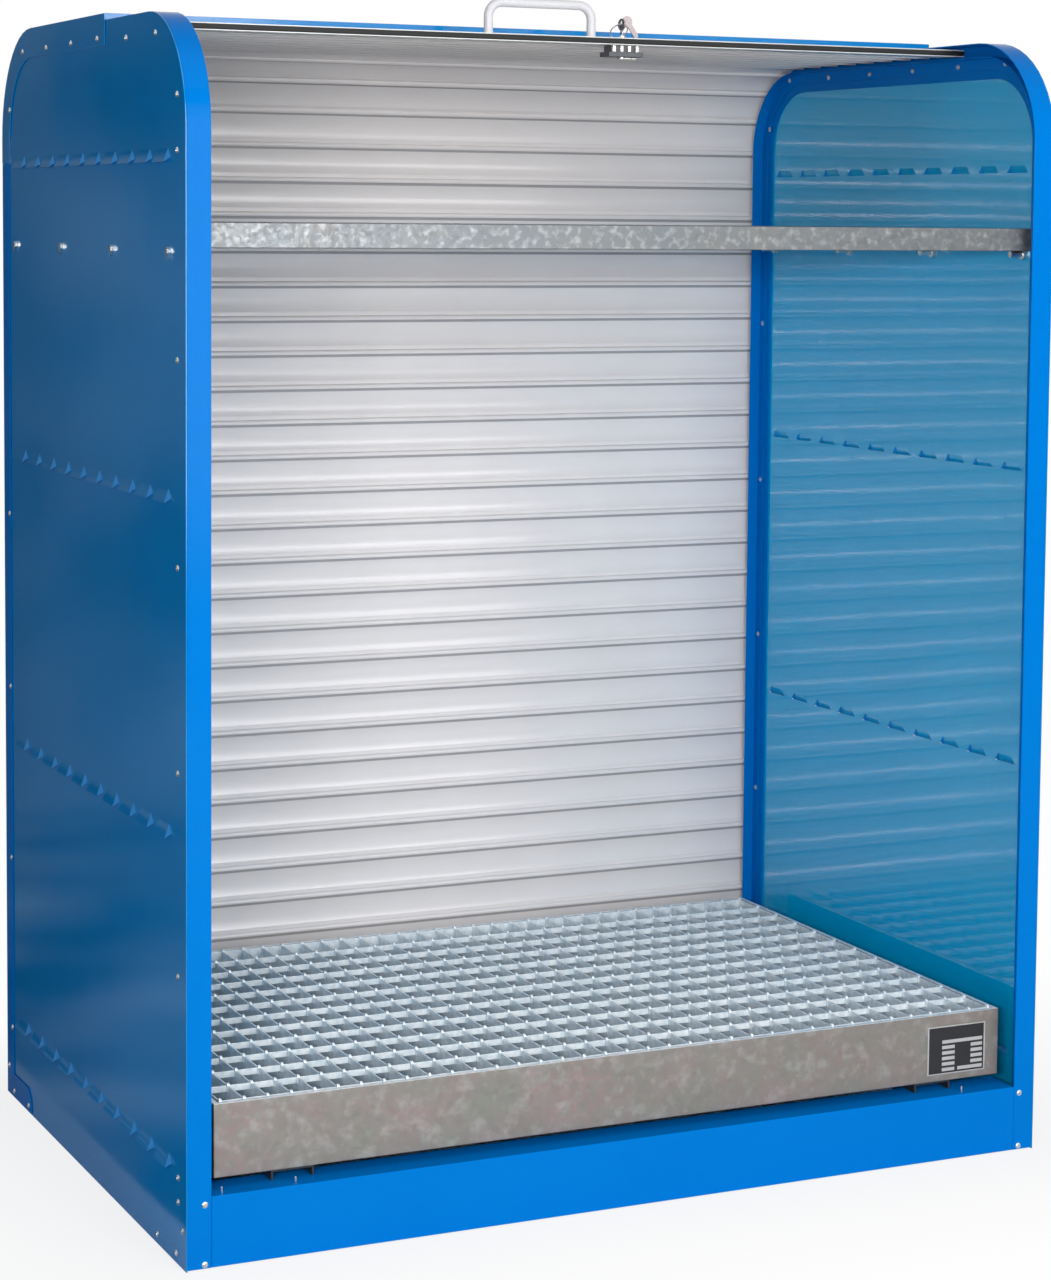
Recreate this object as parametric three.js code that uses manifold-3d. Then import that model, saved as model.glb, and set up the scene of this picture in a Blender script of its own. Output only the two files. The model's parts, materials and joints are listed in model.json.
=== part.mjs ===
import * as THREE from 'three';
import { mergeVertices } from 'three/addons/utils/BufferGeometryUtils.js';
import Module from 'manifold-3d';

// Tambour door cabinet of folded sheet steel, standing on the floor.
// All sizes are in millimetres, X to the right, Y to the back, Z up.
// The curtain is drawn rolled open: over the rear bend and down the back.

const wasm = await Module();
wasm.setup();

// Overall cabinet
const bodyWidth = 1300;
const bodyDepth = 860;
const bodyHeight = 1616;
const cornerRadius = 150;
const sheet = 1.5;
const seatGap = 0.3;
const overrun = 2;
const bendSegments = 6;

// Side panels
const footFlange = 30;
const footFlangeSetback = 56;
const louvreRows = 4;
const louvresPerRow = 10;
const louvreFirstHeight = 126;
const louvreTopMargin = 188;
const louvreMargin = 60;
const louvreLengthShare = 0.8;
const louvreTopShare = 0.66;
const louvreLipShare = 0.84;
const louvreRise = 12;
const louvreBulge = 8;
const louvreLipDrop = 3;

// Guide rails that the curtain runs in
const postFace = 34;
const legThickness = 2;
const webThickness = 2;
const webDepth = 51;
const guideSlot = 17;
const innerLegThickness = 1.5;
const innerLegWidth = 19;
const innerFlange = 18;
const innerGuideLift = 10;

// Curtain slats
const bendSlatCount = 4;
const backSlatCount = 24;
const topSlatCount = 8;
const slatEndClearance = 0.8;
const socketOuter = 4.4;
const socketWall = 1.2;
const beadRadius = 2.5;
const neckThickness = 1.4;
const neckClearance = 1.2;
const slatLand = 6;
const slatWall = 1.3;
const slatCrown = 3.4;
const lipAngle = THREE.MathUtils.degToRad(28);
const ringSegments = 3;
const beadSegments = 6;
const crownSegments = 2;

// End rail, handle and lock
const railDepth = 42;
const railThickness = 10.4;
const railWall = 1.6;
const sealDepth = 6;
const sealProud = 1.5;
const handleSpan = 159;
const handleOffset = -46;
const handleTube = 13;
const handleHeight = 50;
const handleBend = 20;
const handleSteps = 16;
const handleSides = 8;
const lockOffset = 82;
const lockCaseWidth = 54;
const lockCaseHeight = 16;
const lockCaseDepth = 30;
const barrelRadius = 9;
const barrelRise = 3;
const plugRadius = 5.5;
const camLength = 22;
const camWidth = 10;
const camThickness = 2.5;
const keyThickness = 2;
const keyBlade = 6;
const keyBladeDepth = 12;
const keyStem = 8;
const keyBow = 21;
const keyBowHeight = 17;
const keyHole = 3.6;
const keyHoleShare = 1.6;
const keyRingRadius = 13;
const keyRingWire = 0.9;

// Hood over the rear bend and cover down the back
const hoodRise = 9;
const hoodBehindRail = 65;
const hoodSkirt = 36;
const hoodFlange = 34;
const coverFlange = 28;
const coverLap = 25;
const gussetLength = 98;
const gussetHeight = 36;
const gussetChamfer = 17;

// Base
const baseLift = 2;
const plinthTop = 96;
const plinthDepth = 60;
const ledgeReturn = 20;
const tabLength = 20;
const tabMargin = 4;
const beamSetback = 24;
const runnerWidth = 60;
const runnerHeight = 13.4;
const runnerWall = 3;
const runnerSetback = 30;
const runnerInset = 156;

// Shelf and its bolts
const shelfDrop = 270;
const shelfFlange = 32;
const shelfSideClearance = 0.8;
const shelfFrontSetback = 27;
const shelfBackSetback = 62;
const boltCount = 4;
const boltMargin = 66;
const boltRadius = 5;
const boltHead = 8;
const boltHeadHeight = 4.5;
const boltLength = 28;
const nutRadius = 8.5;
const nutHeight = 7;

// Sump tray and grating
const traySide = 46;
const trayFront = 27;
const trayBack = 60;
const trayHeight = 98;
const traySheet = 2;
const hemWidth = 8;
const hemDrop = 12;
const barDepth = 30;
const barThickness = 3;
const ribCount = 2;
const gratingClearance = 3;
const gratingColumns = 10;
const gratingRows = 6;

// Sizes that follow from the ones above
const bendCentreLow = cornerRadius;
const bendCentreHigh = bodyDepth - cornerRadius;
const bendHeight = bodyHeight - cornerRadius;
const pivotInset = legThickness + guideSlot / 2;
const innerLegOutset = legThickness + guideSlot;
const innerGuideInset = innerLegOutset + innerLegThickness;
const pivotRadius = cornerRadius - pivotInset;
const slatAngle = Math.PI / 2 / bendSlatCount;
const slatPitch = 2 * pivotRadius * Math.sin(slatAngle / 2);
const webInside = sheet + seatGap + webThickness;
const innerFlangeInside = webInside + seatGap + innerLegThickness;
const slatStart = webInside + slatEndClearance;
const socketInner = socketOuter - socketWall;
const plinthStart = postFace + seatGap;
const trayBottom = plinthTop + seatGap + runnerHeight + seatGap;
const trayTop = trayBottom + trayHeight;
const coverOutset = hoodRise - sheet - seatGap;
const hoodFront = bendCentreHigh - topSlatCount * slatPitch + hoodBehindRail;
const hoodEnd = bendHeight - hoodSkirt;
const shelfTop = bodyHeight - shelfDrop;

const blue = 0x0a6fc2;
const silver = 0xd2d2d4;
const zinc = 0xa9a59c;
const steel = 0xc9ccd0;

function finish(color, roughness, metalness) {
  return new THREE.MeshStandardMaterial({ color, roughness, metalness });
}

// A closed mesh with shared vertices as a boolean solid
function solid(geometry) {
  const bare = geometry.clone();
  bare.deleteAttribute('normal');
  bare.deleteAttribute('uv');
  const merged = mergeVertices(bare);
  const vertProperties = new Float32Array(merged.attributes.position.array);
  const triVerts = new Uint32Array(merged.index.array);
  return new wasm.Manifold(new wasm.Mesh({ numProp: 3, vertProperties, triVerts }));
}

function toGeometry(manifold) {
  const mesh = manifold.getMesh();
  const geometry = new THREE.BufferGeometry();
  geometry.setAttribute('position', new THREE.BufferAttribute(mesh.vertProperties, 3));
  geometry.setIndex(new THREE.BufferAttribute(mesh.triVerts, 1));
  geometry.computeVertexNormals();
  return geometry;
}

function join(first, ...others) {
  let result = solid(first);
  for (const other of others) {
    result = result.add(solid(other));
  }
  return toGeometry(result);
}

function cut(first, ...others) {
  let result = solid(first);
  for (const other of others) {
    result = result.subtract(solid(other));
  }
  return toGeometry(result);
}

// An outline drawn in Y and Z, swept along X
function alongX(shape, x0, x1, curveSegments = bendSegments) {
  const geometry = new THREE.ExtrudeGeometry(shape, { depth: x1 - x0, bevelEnabled: false, curveSegments });
  const turn = new THREE.Matrix4().makeBasis(
    new THREE.Vector3(0, 1, 0), new THREE.Vector3(0, 0, 1), new THREE.Vector3(1, 0, 0));
  return geometry.applyMatrix4(turn).translate(x0, 0, 0);
}


function block(x0, x1, y0, y1, z0, z1) {
  const geometry = new THREE.BoxGeometry(x1 - x0, y1 - y0, z1 - z0);
  return geometry.translate((x0 + x1) / 2, (y0 + y1) / 2, (z0 + z1) / 2);
}

function rodX(radius, x0, x1, y, z, sides) {
  const geometry = new THREE.CylinderGeometry(radius, radius, x1 - x0, sides);
  return geometry.rotateZ(-Math.PI / 2).translate((x0 + x1) / 2, y, z);
}

function rodZ(radius, x, y, z0, z1, sides) {
  const geometry = new THREE.CylinderGeometry(radius, radius, z1 - z0, sides);
  return geometry.rotateX(Math.PI / 2).translate(x, y, (z0 + z1) / 2);
}

// The same piece for the other side of the cabinet
function mirrored(geometry) {
  const copy = geometry.clone().applyMatrix4(new THREE.Matrix4().makeScale(-1, 1, 1));
  copy.translate(bodyWidth, 0, 0);
  const index = copy.index.array;
  for (let i = 0; i < index.length; i += 3) {
    const held = index[i + 1];
    index[i + 1] = index[i + 2];
    index[i + 2] = held;
  }
  copy.computeVertexNormals();
  return copy;
}

// Side outline of the cabinet, drawn at an inset from its edge
function archPath(target, inset, low) {
  target.lineTo(inset, bendHeight);
  target.absarc(bendCentreLow, bendHeight, cornerRadius - inset, Math.PI, Math.PI / 2, true);
  target.lineTo(bendCentreHigh, bodyHeight - inset);
  target.absarc(bendCentreHigh, bendHeight, cornerRadius - inset, Math.PI / 2, 0, true);
  target.lineTo(bodyDepth - inset, low);
}

function archPlate(inset, low) {
  const shape = new THREE.Shape();
  shape.moveTo(inset, low);
  archPath(shape, inset, low);
  return shape;
}

// A strip that follows the outline between two insets
function archBand(outerInset, innerInset, low) {
  const shape = archPlate(outerInset, low);
  shape.lineTo(bodyDepth - innerInset, low);
  shape.lineTo(bodyDepth - innerInset, bendHeight);
  shape.absarc(bendCentreHigh, bendHeight, cornerRadius - innerInset, 0, Math.PI / 2, false);
  shape.lineTo(bendCentreLow, bodyHeight - innerInset);
  shape.absarc(bendCentreLow, bendHeight, cornerRadius - innerInset, Math.PI / 2, Math.PI, false);
  shape.lineTo(innerInset, low);
  return shape;
}

// A strip over the rear bend only
function hoodBand(outerInset, innerInset, front, end) {
  const shape = new THREE.Shape();
  shape.moveTo(front, bodyHeight - outerInset);
  shape.lineTo(bendCentreHigh, bodyHeight - outerInset);
  shape.absarc(bendCentreHigh, bendHeight, cornerRadius - outerInset, Math.PI / 2, 0, true);
  shape.lineTo(bodyDepth - outerInset, end);
  shape.lineTo(bodyDepth - innerInset, end);
  shape.lineTo(bodyDepth - innerInset, bendHeight);
  shape.absarc(bendCentreHigh, bendHeight, cornerRadius - innerInset, 0, Math.PI / 2, false);
  shape.lineTo(front, bodyHeight - innerInset);
  return shape;
}

// Louvre hood: a pressed wedge with slanted ends, open below, whose lip hangs lower than its slot
function louvreWedge(y, z, length, rise, bulge, lipDrop, low, inner) {
  const half = length / 2;
  const top = half * louvreTopShare;
  const lip = half * louvreLipShare;
  const points = [
    [inner, y - half, z], [inner, y + half, z],
    [-bulge, y - lip, z - lipDrop], [-bulge, y + lip, z - lipDrop],
    [inner, y - top, z + rise], [inner, y + top, z + rise],
    [0, y - half, z - low], [0, y + half, z - low],
    [0, y - top, z + rise], [0, y + top, z + rise],
  ];
  const faces = [
    0, 1, 5, 0, 5, 4,
    0, 6, 2, 0, 2, 3, 0, 3, 7, 0, 7, 1,
    2, 8, 9, 2, 9, 3,
    8, 4, 5, 8, 5, 9,
    6, 0, 4, 6, 4, 8, 2, 6, 8,
    7, 5, 1, 7, 9, 5, 3, 9, 7,
  ];
  const geometry = new THREE.BufferGeometry();
  geometry.setAttribute('position', new THREE.Float32BufferAttribute(points.flat(), 3));
  geometry.setIndex(faces);
  return geometry;
}

function boltPlaces() {
  const step = (bodyDepth - 2 * boltMargin) / (boltCount - 1);
  return Array.from({ length: boltCount }, (_, i) => boltMargin + step * i);
}

const boltHeight = shelfTop - shelfFlange - seatGap - boltRadius;

// Side panel: rounded sheet with rows of louvres, a turned foot and the shelf bolts
function sidePanel() {
  let panel = solid(alongX(archPlate(0, 0), 0, sheet));
  const foot = block(0, footFlange, footFlangeSetback, bodyDepth - footFlangeSetback, 0, sheet);
  panel = panel.add(solid(foot));
  const rowSpacing = (bodyHeight - louvreTopMargin - louvreFirstHeight) / (louvreRows - 1);
  const span = bodyDepth - 2 * louvreMargin;
  const pitch = span / (louvresPerRow - 1 + louvreLengthShare);
  const length = pitch * louvreLengthShare;
  for (let row = 0; row < louvreRows; row += 1) {
    const z = louvreFirstHeight + rowSpacing * row;
    for (let i = 0; i < louvresPerRow; i += 1) {
      const y = louvreMargin + length / 2 + pitch * i;
      panel = panel.add(solid(louvreWedge(y, z, length, louvreRise, louvreBulge, louvreLipDrop, 0, sheet)));
      const inside = louvreWedge(y, z, length - 4 * sheet, louvreRise - 2 * sheet,
        louvreBulge - sheet, louvreLipDrop + overrun, overrun, sheet + overrun);
      panel = panel.subtract(solid(inside));
    }
  }
  for (const y of boltPlaces()) {
    panel = panel.add(solid(rodX(boltHead, -boltHeadHeight, 0, y, boltHeight, 6)));
    panel = panel.add(solid(rodX(nutRadius, sheet, sheet + nutHeight, y, boltHeight, 6)));
    panel = panel.add(solid(rodX(boltRadius, -boltHeadHeight / 2, boltLength, y, boltHeight, 10)));
  }
  return toGeometry(panel);
}

// Outer guide: an angle whose leg is the face of the post and whose web lies on the panel
function outerGuide() {
  const low = sheet + seatGap;
  const leg = alongX(archBand(0, legThickness, low), low, postFace);
  const web = alongX(archBand(0, webDepth, low), low, webInside);
  return join(leg, web);
}

// Inner guide: a lighter angle that closes the slot from inside
function innerGuide() {
  const low = webInside + seatGap;
  const leg = alongX(archBand(innerLegOutset, innerGuideInset, innerGuideLift), low, low + innerLegWidth);
  const flange = alongX(
    archBand(innerLegOutset, innerGuideInset + innerFlange, innerGuideLift), low, innerFlangeInside);
  return join(leg, flange);
}

function hood() {
  const side = sheet + seatGap;
  const skin = alongX(hoodBand(-hoodRise, sheet - hoodRise, hoodFront, hoodEnd), -side, bodyWidth + side);
  const flange = hoodBand(-hoodRise, hoodFlange, hoodFront, hoodEnd);
  const left = alongX(flange, -side, -seatGap);
  const right = alongX(flange, bodyWidth + seatGap, bodyWidth + side);
  const lip = block(-side, bodyWidth + side, hoodFront, hoodFront + sheet,
    bodyHeight + seatGap, bodyHeight + hoodRise);
  return join(skin, left, right, lip);
}

function backCover() {
  const side = sheet + seatGap;
  const end = hoodEnd - seatGap;
  const inside = bodyDepth + coverOutset - sheet;
  const outside = bodyDepth + coverOutset;
  const skin = block(-side, bodyWidth + side, inside, outside, baseLift, end);
  const tongue = block(0, bodyWidth, inside, outside, end - overrun, end + coverLap);
  const flange = new THREE.Shape();
  const edge = bodyDepth - coverFlange;
  flange.moveTo(outside, baseLift);
  flange.lineTo(outside, end);
  flange.lineTo(edge, end);
  flange.lineTo(edge, baseLift + gussetHeight);
  flange.lineTo(edge - gussetLength + gussetChamfer, baseLift + gussetHeight);
  flange.lineTo(edge - gussetLength, baseLift + gussetHeight - gussetChamfer);
  flange.lineTo(edge - gussetLength, baseLift);
  const left = alongX(flange, -side, -seatGap);
  const right = alongX(flange, bodyWidth + seatGap, bodyWidth + side);
  return join(skin, tongue, left, right);
}

// Folded channel with a ledge on top and closed ends
function channel(x0, x1, y0, y1, faceAtFront) {
  const face = faceAtFront ? [y0, y0 + sheet] : [y1 - sheet, y1];
  const lip = faceAtFront ? [y1 - sheet, y1] : [y0, y0 + sheet];
  const parts = [
    block(x0, x1, face[0], face[1], baseLift, plinthTop),
    block(x0, x1, y0, y1, plinthTop - sheet, plinthTop),
    block(x0, x1, y0, y1, baseLift, baseLift + sheet),
    block(x0, x1, lip[0], lip[1], plinthTop - ledgeReturn, plinthTop),
    block(x0, x0 + sheet, y0, y1, baseLift, plinthTop),
    block(x1 - sheet, x1, y0, y1, baseLift, plinthTop),
  ];
  return join(...parts);
}

function frontPlinth() {
  const x0 = plinthStart;
  const x1 = bodyWidth - plinthStart;
  const y0 = legThickness + seatGap;
  const low = baseLift + tabMargin;
  const high = plinthTop - tabMargin;
  const left = block(x0 - tabLength, x0 + sheet, y0, y0 + sheet, low, high);
  const right = block(x1 - sheet, x1 + tabLength, y0, y0 + sheet, low, high);
  return join(channel(x0, x1, 0, plinthDepth, true), left, right);
}

function rearBeam() {
  const x0 = innerFlangeInside + seatGap;
  const y1 = bodyDepth - beamSetback;
  return channel(x0, bodyWidth - x0, y1 - plinthDepth, y1, false);
}

function runner(x) {
  const z0 = plinthTop + seatGap;
  const z1 = z0 + runnerHeight;
  const y1 = bodyDepth - beamSetback - runnerSetback / 2;
  const outer = block(x - runnerWidth / 2, x + runnerWidth / 2, runnerSetback, y1, z0, z1);
  const inner = block(x - runnerWidth / 2 + runnerWall, x + runnerWidth / 2 - runnerWall,
    runnerSetback - overrun, y1 + overrun, z0 - overrun, z1 - runnerWall);
  return cut(outer, inner);
}

function shelf() {
  const x0 = sheet + nutHeight + shelfSideClearance;
  const x1 = bodyWidth - x0;
  const y1 = bodyDepth - shelfBackSetback;
  const low = shelfTop - shelfFlange;
  const outer = block(x0, x1, shelfFrontSetback, y1, low, shelfTop);
  const inner = block(x0 + sheet, x1 - sheet, shelfFrontSetback + sheet, y1 - sheet,
    low - overrun, shelfTop - sheet);
  return cut(outer, inner);
}

// Sump tray: a welded open box whose top edge is folded inwards
function sumpTray() {
  const x0 = traySide;
  const x1 = bodyWidth - traySide;
  const y0 = trayFront;
  const y1 = bodyDepth - trayBack;
  const wall = traySheet;
  const hem = hemWidth;
  const hollow = block(x0 + wall, x1 - wall, y0 + wall, y1 - wall, trayBottom + wall, trayTop - hemDrop);
  const mouth = block(x0 + hem, x1 - hem, y0 + hem, y1 - hem, trayTop - hemDrop - overrun, trayTop + overrun);
  return cut(block(x0, x1, y0, y1, trayBottom, trayTop), hollow, mouth);
}

// Upright sheet rib across the tray that the grating rests on, at a share of the tray's depth
function sumpRib(share) {
  const x0 = traySide + traySheet + seatGap;
  const y = trayFront + (bodyDepth - trayBack - trayFront) * share;
  return block(x0, bodyWidth - x0, y, y + traySheet,
    trayBottom + traySheet + seatGap, trayTop - barDepth - seatGap);
}

function grating() {
  const x0 = traySide + hemWidth + gratingClearance;
  const x1 = bodyWidth - x0;
  const y0 = trayFront + hemWidth + gratingClearance;
  const y1 = bodyDepth - trayBack - hemWidth - gratingClearance;
  const stepX = (x1 - x0 - barThickness) / gratingColumns;
  const stepY = (y1 - y0 - barThickness) / gratingRows;
  const low = trayTop - barDepth;
  let plate = solid(block(x0, x1, y0, y1, low, trayTop));
  for (let i = 0; i < gratingColumns; i += 1) {
    for (let j = 0; j < gratingRows; j += 1) {
      const left = x0 + barThickness + stepX * i;
      const near = y0 + barThickness + stepY * j;
      const gap = block(left, left + stepX - barThickness, near, near + stepY - barThickness,
        low - overrun, trayTop + overrun);
      plate = plate.subtract(solid(gap));
    }
  }
  return toGeometry(plate);
}

// Slat profile: u runs along the curtain, v points out of the cabinet.
// The socket lies round the slat's first pivot and the bead round its second.
function socketShape() {
  const from = Math.PI - lipAngle;
  const to = slatAngle + lipAngle - Math.PI;
  const shape = new THREE.Shape();
  shape.moveTo(socketOuter * Math.cos(from), socketOuter * Math.sin(from));
  shape.absarc(0, 0, socketOuter, from, to, true);
  shape.lineTo(socketInner * Math.cos(to), socketInner * Math.sin(to));
  shape.absarc(0, 0, socketInner, to, from, false);
  return shape;
}

function crownShape(start, end) {
  const half = (end - start) / 2;
  const radius = (half * half + slatCrown * slatCrown) / (2 * slatCrown);
  const spread = Math.asin(half / radius);
  const u = (start + end) / 2;
  const v = slatCrown - radius;
  const shape = new THREE.Shape();
  const outer = radius + slatWall / 2;
  const inner = radius - slatWall / 2;
  const left = Math.PI / 2 + spread;
  const right = Math.PI / 2 - spread;
  shape.moveTo(u + outer * Math.cos(left), v + outer * Math.sin(left));
  shape.absarc(u, v, outer, left, right, true);
  shape.lineTo(u + inner * Math.cos(right), v + inner * Math.sin(right));
  shape.absarc(u, v, inner, right, left, false);
  return shape;
}

function flatShape(u0, u1, v0, v1) {
  const shape = new THREE.Shape();
  shape.moveTo(u0, v0);
  shape.lineTo(u1, v0);
  shape.lineTo(u1, v1);
  shape.lineTo(u0, v1);
  return shape;
}

function beadShape() {
  const shape = new THREE.Shape();
  for (let i = 0; i < beadSegments; i += 1) {
    const angle = 2 * Math.PI * (i + 0.5) / beadSegments;
    const u = slatPitch + beadRadius * Math.cos(angle);
    const v = beadRadius * Math.sin(angle);
    if (i === 0) {
      shape.moveTo(u, v);
    } else {
      shape.lineTo(u, v);
    }
  }
  return shape;
}

const slatLength = bodyWidth - 2 * slatStart;

// Sweeps a slat outline over the width, with u along +Y and v along -Z
function sweep(shape, curveSegments = bendSegments) {
  const geometry = new THREE.ExtrudeGeometry(shape, { depth: slatLength, bevelEnabled: false, curveSegments });
  const turn = new THREE.Matrix4().makeBasis(
    new THREE.Vector3(0, 1, 0), new THREE.Vector3(0, 0, -1), new THREE.Vector3(-1, 0, 0));
  return geometry.applyMatrix4(turn).translate(slatStart + slatLength, 0, 0);
}

function slatGeometry() {
  const start = socketOuter + slatLand;
  const end = slatPitch - socketOuter - neckClearance;
  const land = flatShape(socketOuter - socketWall / 2, start + slatWall, -slatWall / 2, slatWall / 2);
  const neck = flatShape(end - slatWall, slatPitch, -neckThickness / 2, neckThickness / 2);
  return join(
    sweep(socketShape(), ringSegments),
    sweep(land),
    sweep(crownShape(start, end), crownSegments),
    sweep(neck),
    sweep(beadShape()));
}

const railTop = railThickness / 2;
const railMiddle = -(socketOuter + (railDepth - socketOuter) / 2);
const lockX = bodyWidth / 2 + lockOffset;

function endRail() {
  const body = flatShape(socketOuter - socketWall, railDepth, -railTop, railTop);
  const hollow = new THREE.Path();
  const near = socketOuter + railWall - socketWall;
  hollow.moveTo(near, railWall - railTop);
  hollow.lineTo(near, railTop - railWall);
  hollow.lineTo(railDepth - sealDepth - railWall, railTop - railWall);
  hollow.lineTo(railDepth - sealDepth - railWall, railWall - railTop);
  body.holes.push(hollow);
  const slot = flatShape(railDepth - sealDepth, railDepth + overrun, railWall - railTop, railTop - railWall);
  const groove = sweep(slot);
  const bar = cut(join(sweep(socketShape(), ringSegments), sweep(body)), groove).rotateX(Math.PI);
  return cut(bar, rodZ(barrelRadius + seatGap, lockX, railMiddle, -railThickness, railThickness, 16));
}

// Rubber seal in the rail's leading groove, which meets the plinth when the curtain is down
function railSeal() {
  const half = railTop - railWall - seatGap;
  const strip = flatShape(railDepth - sealDepth + seatGap, railDepth + sealProud, -half, half);
  return sweep(strip).rotateX(Math.PI);
}

// Bow handle: a round bar that rises from the rail and bends across
function handle() {
  const half = handleSpan / 2;
  const top = handleHeight - handleTube / 2;
  const path = new THREE.CurvePath();
  const at = (x, z) => new THREE.Vector3(x, 0, z);
  path.add(new THREE.LineCurve3(at(-half, 0), at(-half, top - handleBend)));
  path.add(new THREE.QuadraticBezierCurve3(at(-half, top - handleBend), at(-half, top),
    at(handleBend - half, top)));
  path.add(new THREE.LineCurve3(at(handleBend - half, top), at(half - handleBend, top)));
  path.add(new THREE.QuadraticBezierCurve3(at(half - handleBend, top), at(half, top),
    at(half, top - handleBend)));
  path.add(new THREE.LineCurve3(at(half, top - handleBend), at(half, 0)));
  const ring = new THREE.Shape();
  for (let i = 0; i < handleSides; i += 1) {
    const angle = 2 * Math.PI * i / handleSides;
    const u = Math.cos(angle) * handleTube / 2;
    const v = Math.sin(angle) * handleTube / 2;
    if (i === 0) {
      ring.moveTo(u, v);
    } else {
      ring.lineTo(u, v);
    }
  }
  const bow = new THREE.ExtrudeGeometry(ring, { steps: handleSteps, extrudePath: path, bevelEnabled: false });
  return bow.translate(bodyWidth / 2 + handleOffset, railMiddle, railTop + seatGap);
}

function lockCase() {
  const top = -railTop - seatGap;
  const low = top - lockCaseHeight;
  const box = block(lockX - lockCaseWidth / 2, lockX + lockCaseWidth / 2,
    railMiddle - lockCaseDepth / 2, railMiddle + lockCaseDepth / 2, low, top);
  const barrel = rodZ(barrelRadius, lockX, railMiddle, low, railTop + barrelRise, 16);
  const bore = rodZ(plugRadius + seatGap, lockX, railMiddle, low - overrun, railTop + barrelRise + overrun, 16);
  return cut(join(box, barrel), bore);
}

const plugTop = railTop + barrelRise;
const plugLow = -railTop - 2 * seatGap - lockCaseHeight;

// Lock plug with the cam under the case that catches behind the plinth
function lockPlug() {
  const plug = rodZ(plugRadius, lockX, railMiddle, plugLow - camThickness, plugTop, 16);
  const cam = block(lockX - camWidth / 2, lockX + camLength, railMiddle - camWidth / 2,
    railMiddle + camWidth / 2, plugLow - camThickness, plugLow);
  const slot = block(lockX - keyThickness / 2 - seatGap, lockX + keyThickness / 2 + seatGap,
    railMiddle - keyBlade / 2 - seatGap, railMiddle + keyBlade / 2 + seatGap,
    plugTop - keyBladeDepth - seatGap, plugTop + overrun);
  return cut(join(plug, cam), slot);
}

// Flat key: blade, stem and an oval bow with a hole for the ring
function keyShape() {
  const outline = new THREE.Shape();
  const half = keyBlade / 2;
  const bow = keyBladeDepth + keyStem;
  outline.moveTo(-half, 0);
  outline.lineTo(half, 0);
  outline.lineTo(half, bow);
  outline.absellipse(0, bow + keyBowHeight / 2, keyBow / 2, keyBowHeight / 2, -Math.PI / 3,
    4 * Math.PI / 3, false, 0);
  outline.lineTo(-half, bow);
  const hole = new THREE.Path();
  hole.absellipse(0, bow + keyBowHeight - keyHole * keyHoleShare, keyHole, keyHole, 0, 2 * Math.PI, true, 0);
  outline.holes.push(hole);
  return outline;
}

function keyPlate() {
  const plate = alongX(keyShape(), -keyThickness / 2, keyThickness / 2, 10);
  return plate;
}

function key() {
  return keyPlate().translate(lockX, railMiddle, plugTop - keyBladeDepth);
}

const holeHeight = plugTop + keyStem + keyBowHeight - keyHole * keyHoleShare;

// Ring through the key's hole, its far side leaning on the rail
function keyRing() {
  const near = holeHeight - keyHole + keyRingWire + seatGap;
  const drop = near - railTop - keyRingWire - seatGap;
  const lean = Math.asin(drop / (2 * keyRingRadius));
  const geometry = new THREE.TorusGeometry(keyRingRadius, keyRingWire, 6, 20);
  geometry.translate(0, keyRingRadius, 0).rotateX(-lean);
  return geometry.translate(lockX, railMiddle, near);
}

const cabinet = new THREE.Group();
cabinet.position.set(-bodyWidth / 2, -(bodyDepth + hoodRise) / 2, 0);

function addPiece(parent, name, geometry, color, roughness, metalness) {
  const mesh = new THREE.Mesh(geometry, finish(color, roughness, metalness));
  mesh.name = name;
  parent.add(mesh);
  return mesh;
}

const panelLeft = sidePanel();
addPiece(cabinet, 'side_panel_left', panelLeft, blue, 0.35, 0.0);
addPiece(cabinet, 'side_panel_right', mirrored(panelLeft), blue, 0.35, 0.0);
const guideLeft = outerGuide();
addPiece(cabinet, 'outer_guide_left', guideLeft, blue, 0.35, 0.0);
addPiece(cabinet, 'outer_guide_right', mirrored(guideLeft), blue, 0.35, 0.0);
const innerLeft = innerGuide();
addPiece(cabinet, 'inner_guide_left', innerLeft, blue, 0.35, 0.0);
addPiece(cabinet, 'inner_guide_right', mirrored(innerLeft), blue, 0.35, 0.0);
addPiece(cabinet, 'rear_hood', hood(), blue, 0.35, 0.0);
addPiece(cabinet, 'back_cover', backCover(), blue, 0.35, 0.0);
addPiece(cabinet, 'front_plinth', frontPlinth(), blue, 0.35, 0.0);
addPiece(cabinet, 'rear_beam', rearBeam(), blue, 0.35, 0.0);
addPiece(cabinet, 'tray_runner_left', runner(runnerInset), zinc, 0.45, 0.9);
addPiece(cabinet, 'tray_runner_right', runner(bodyWidth - runnerInset), zinc, 0.45, 0.9);
addPiece(cabinet, 'shelf', shelf(), zinc, 0.45, 0.9);
addPiece(cabinet, 'sump_tray', sumpTray(), zinc, 0.45, 0.9);
for (let i = 1; i < ribCount + 1; i += 1) {
  addPiece(cabinet, `sump_rib_${i}`, sumpRib(i / (ribCount + 1)), zinc, 0.45, 0.9);
}
addPiece(cabinet, 'grating', grating(), steel, 0.4, 0.9);

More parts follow.
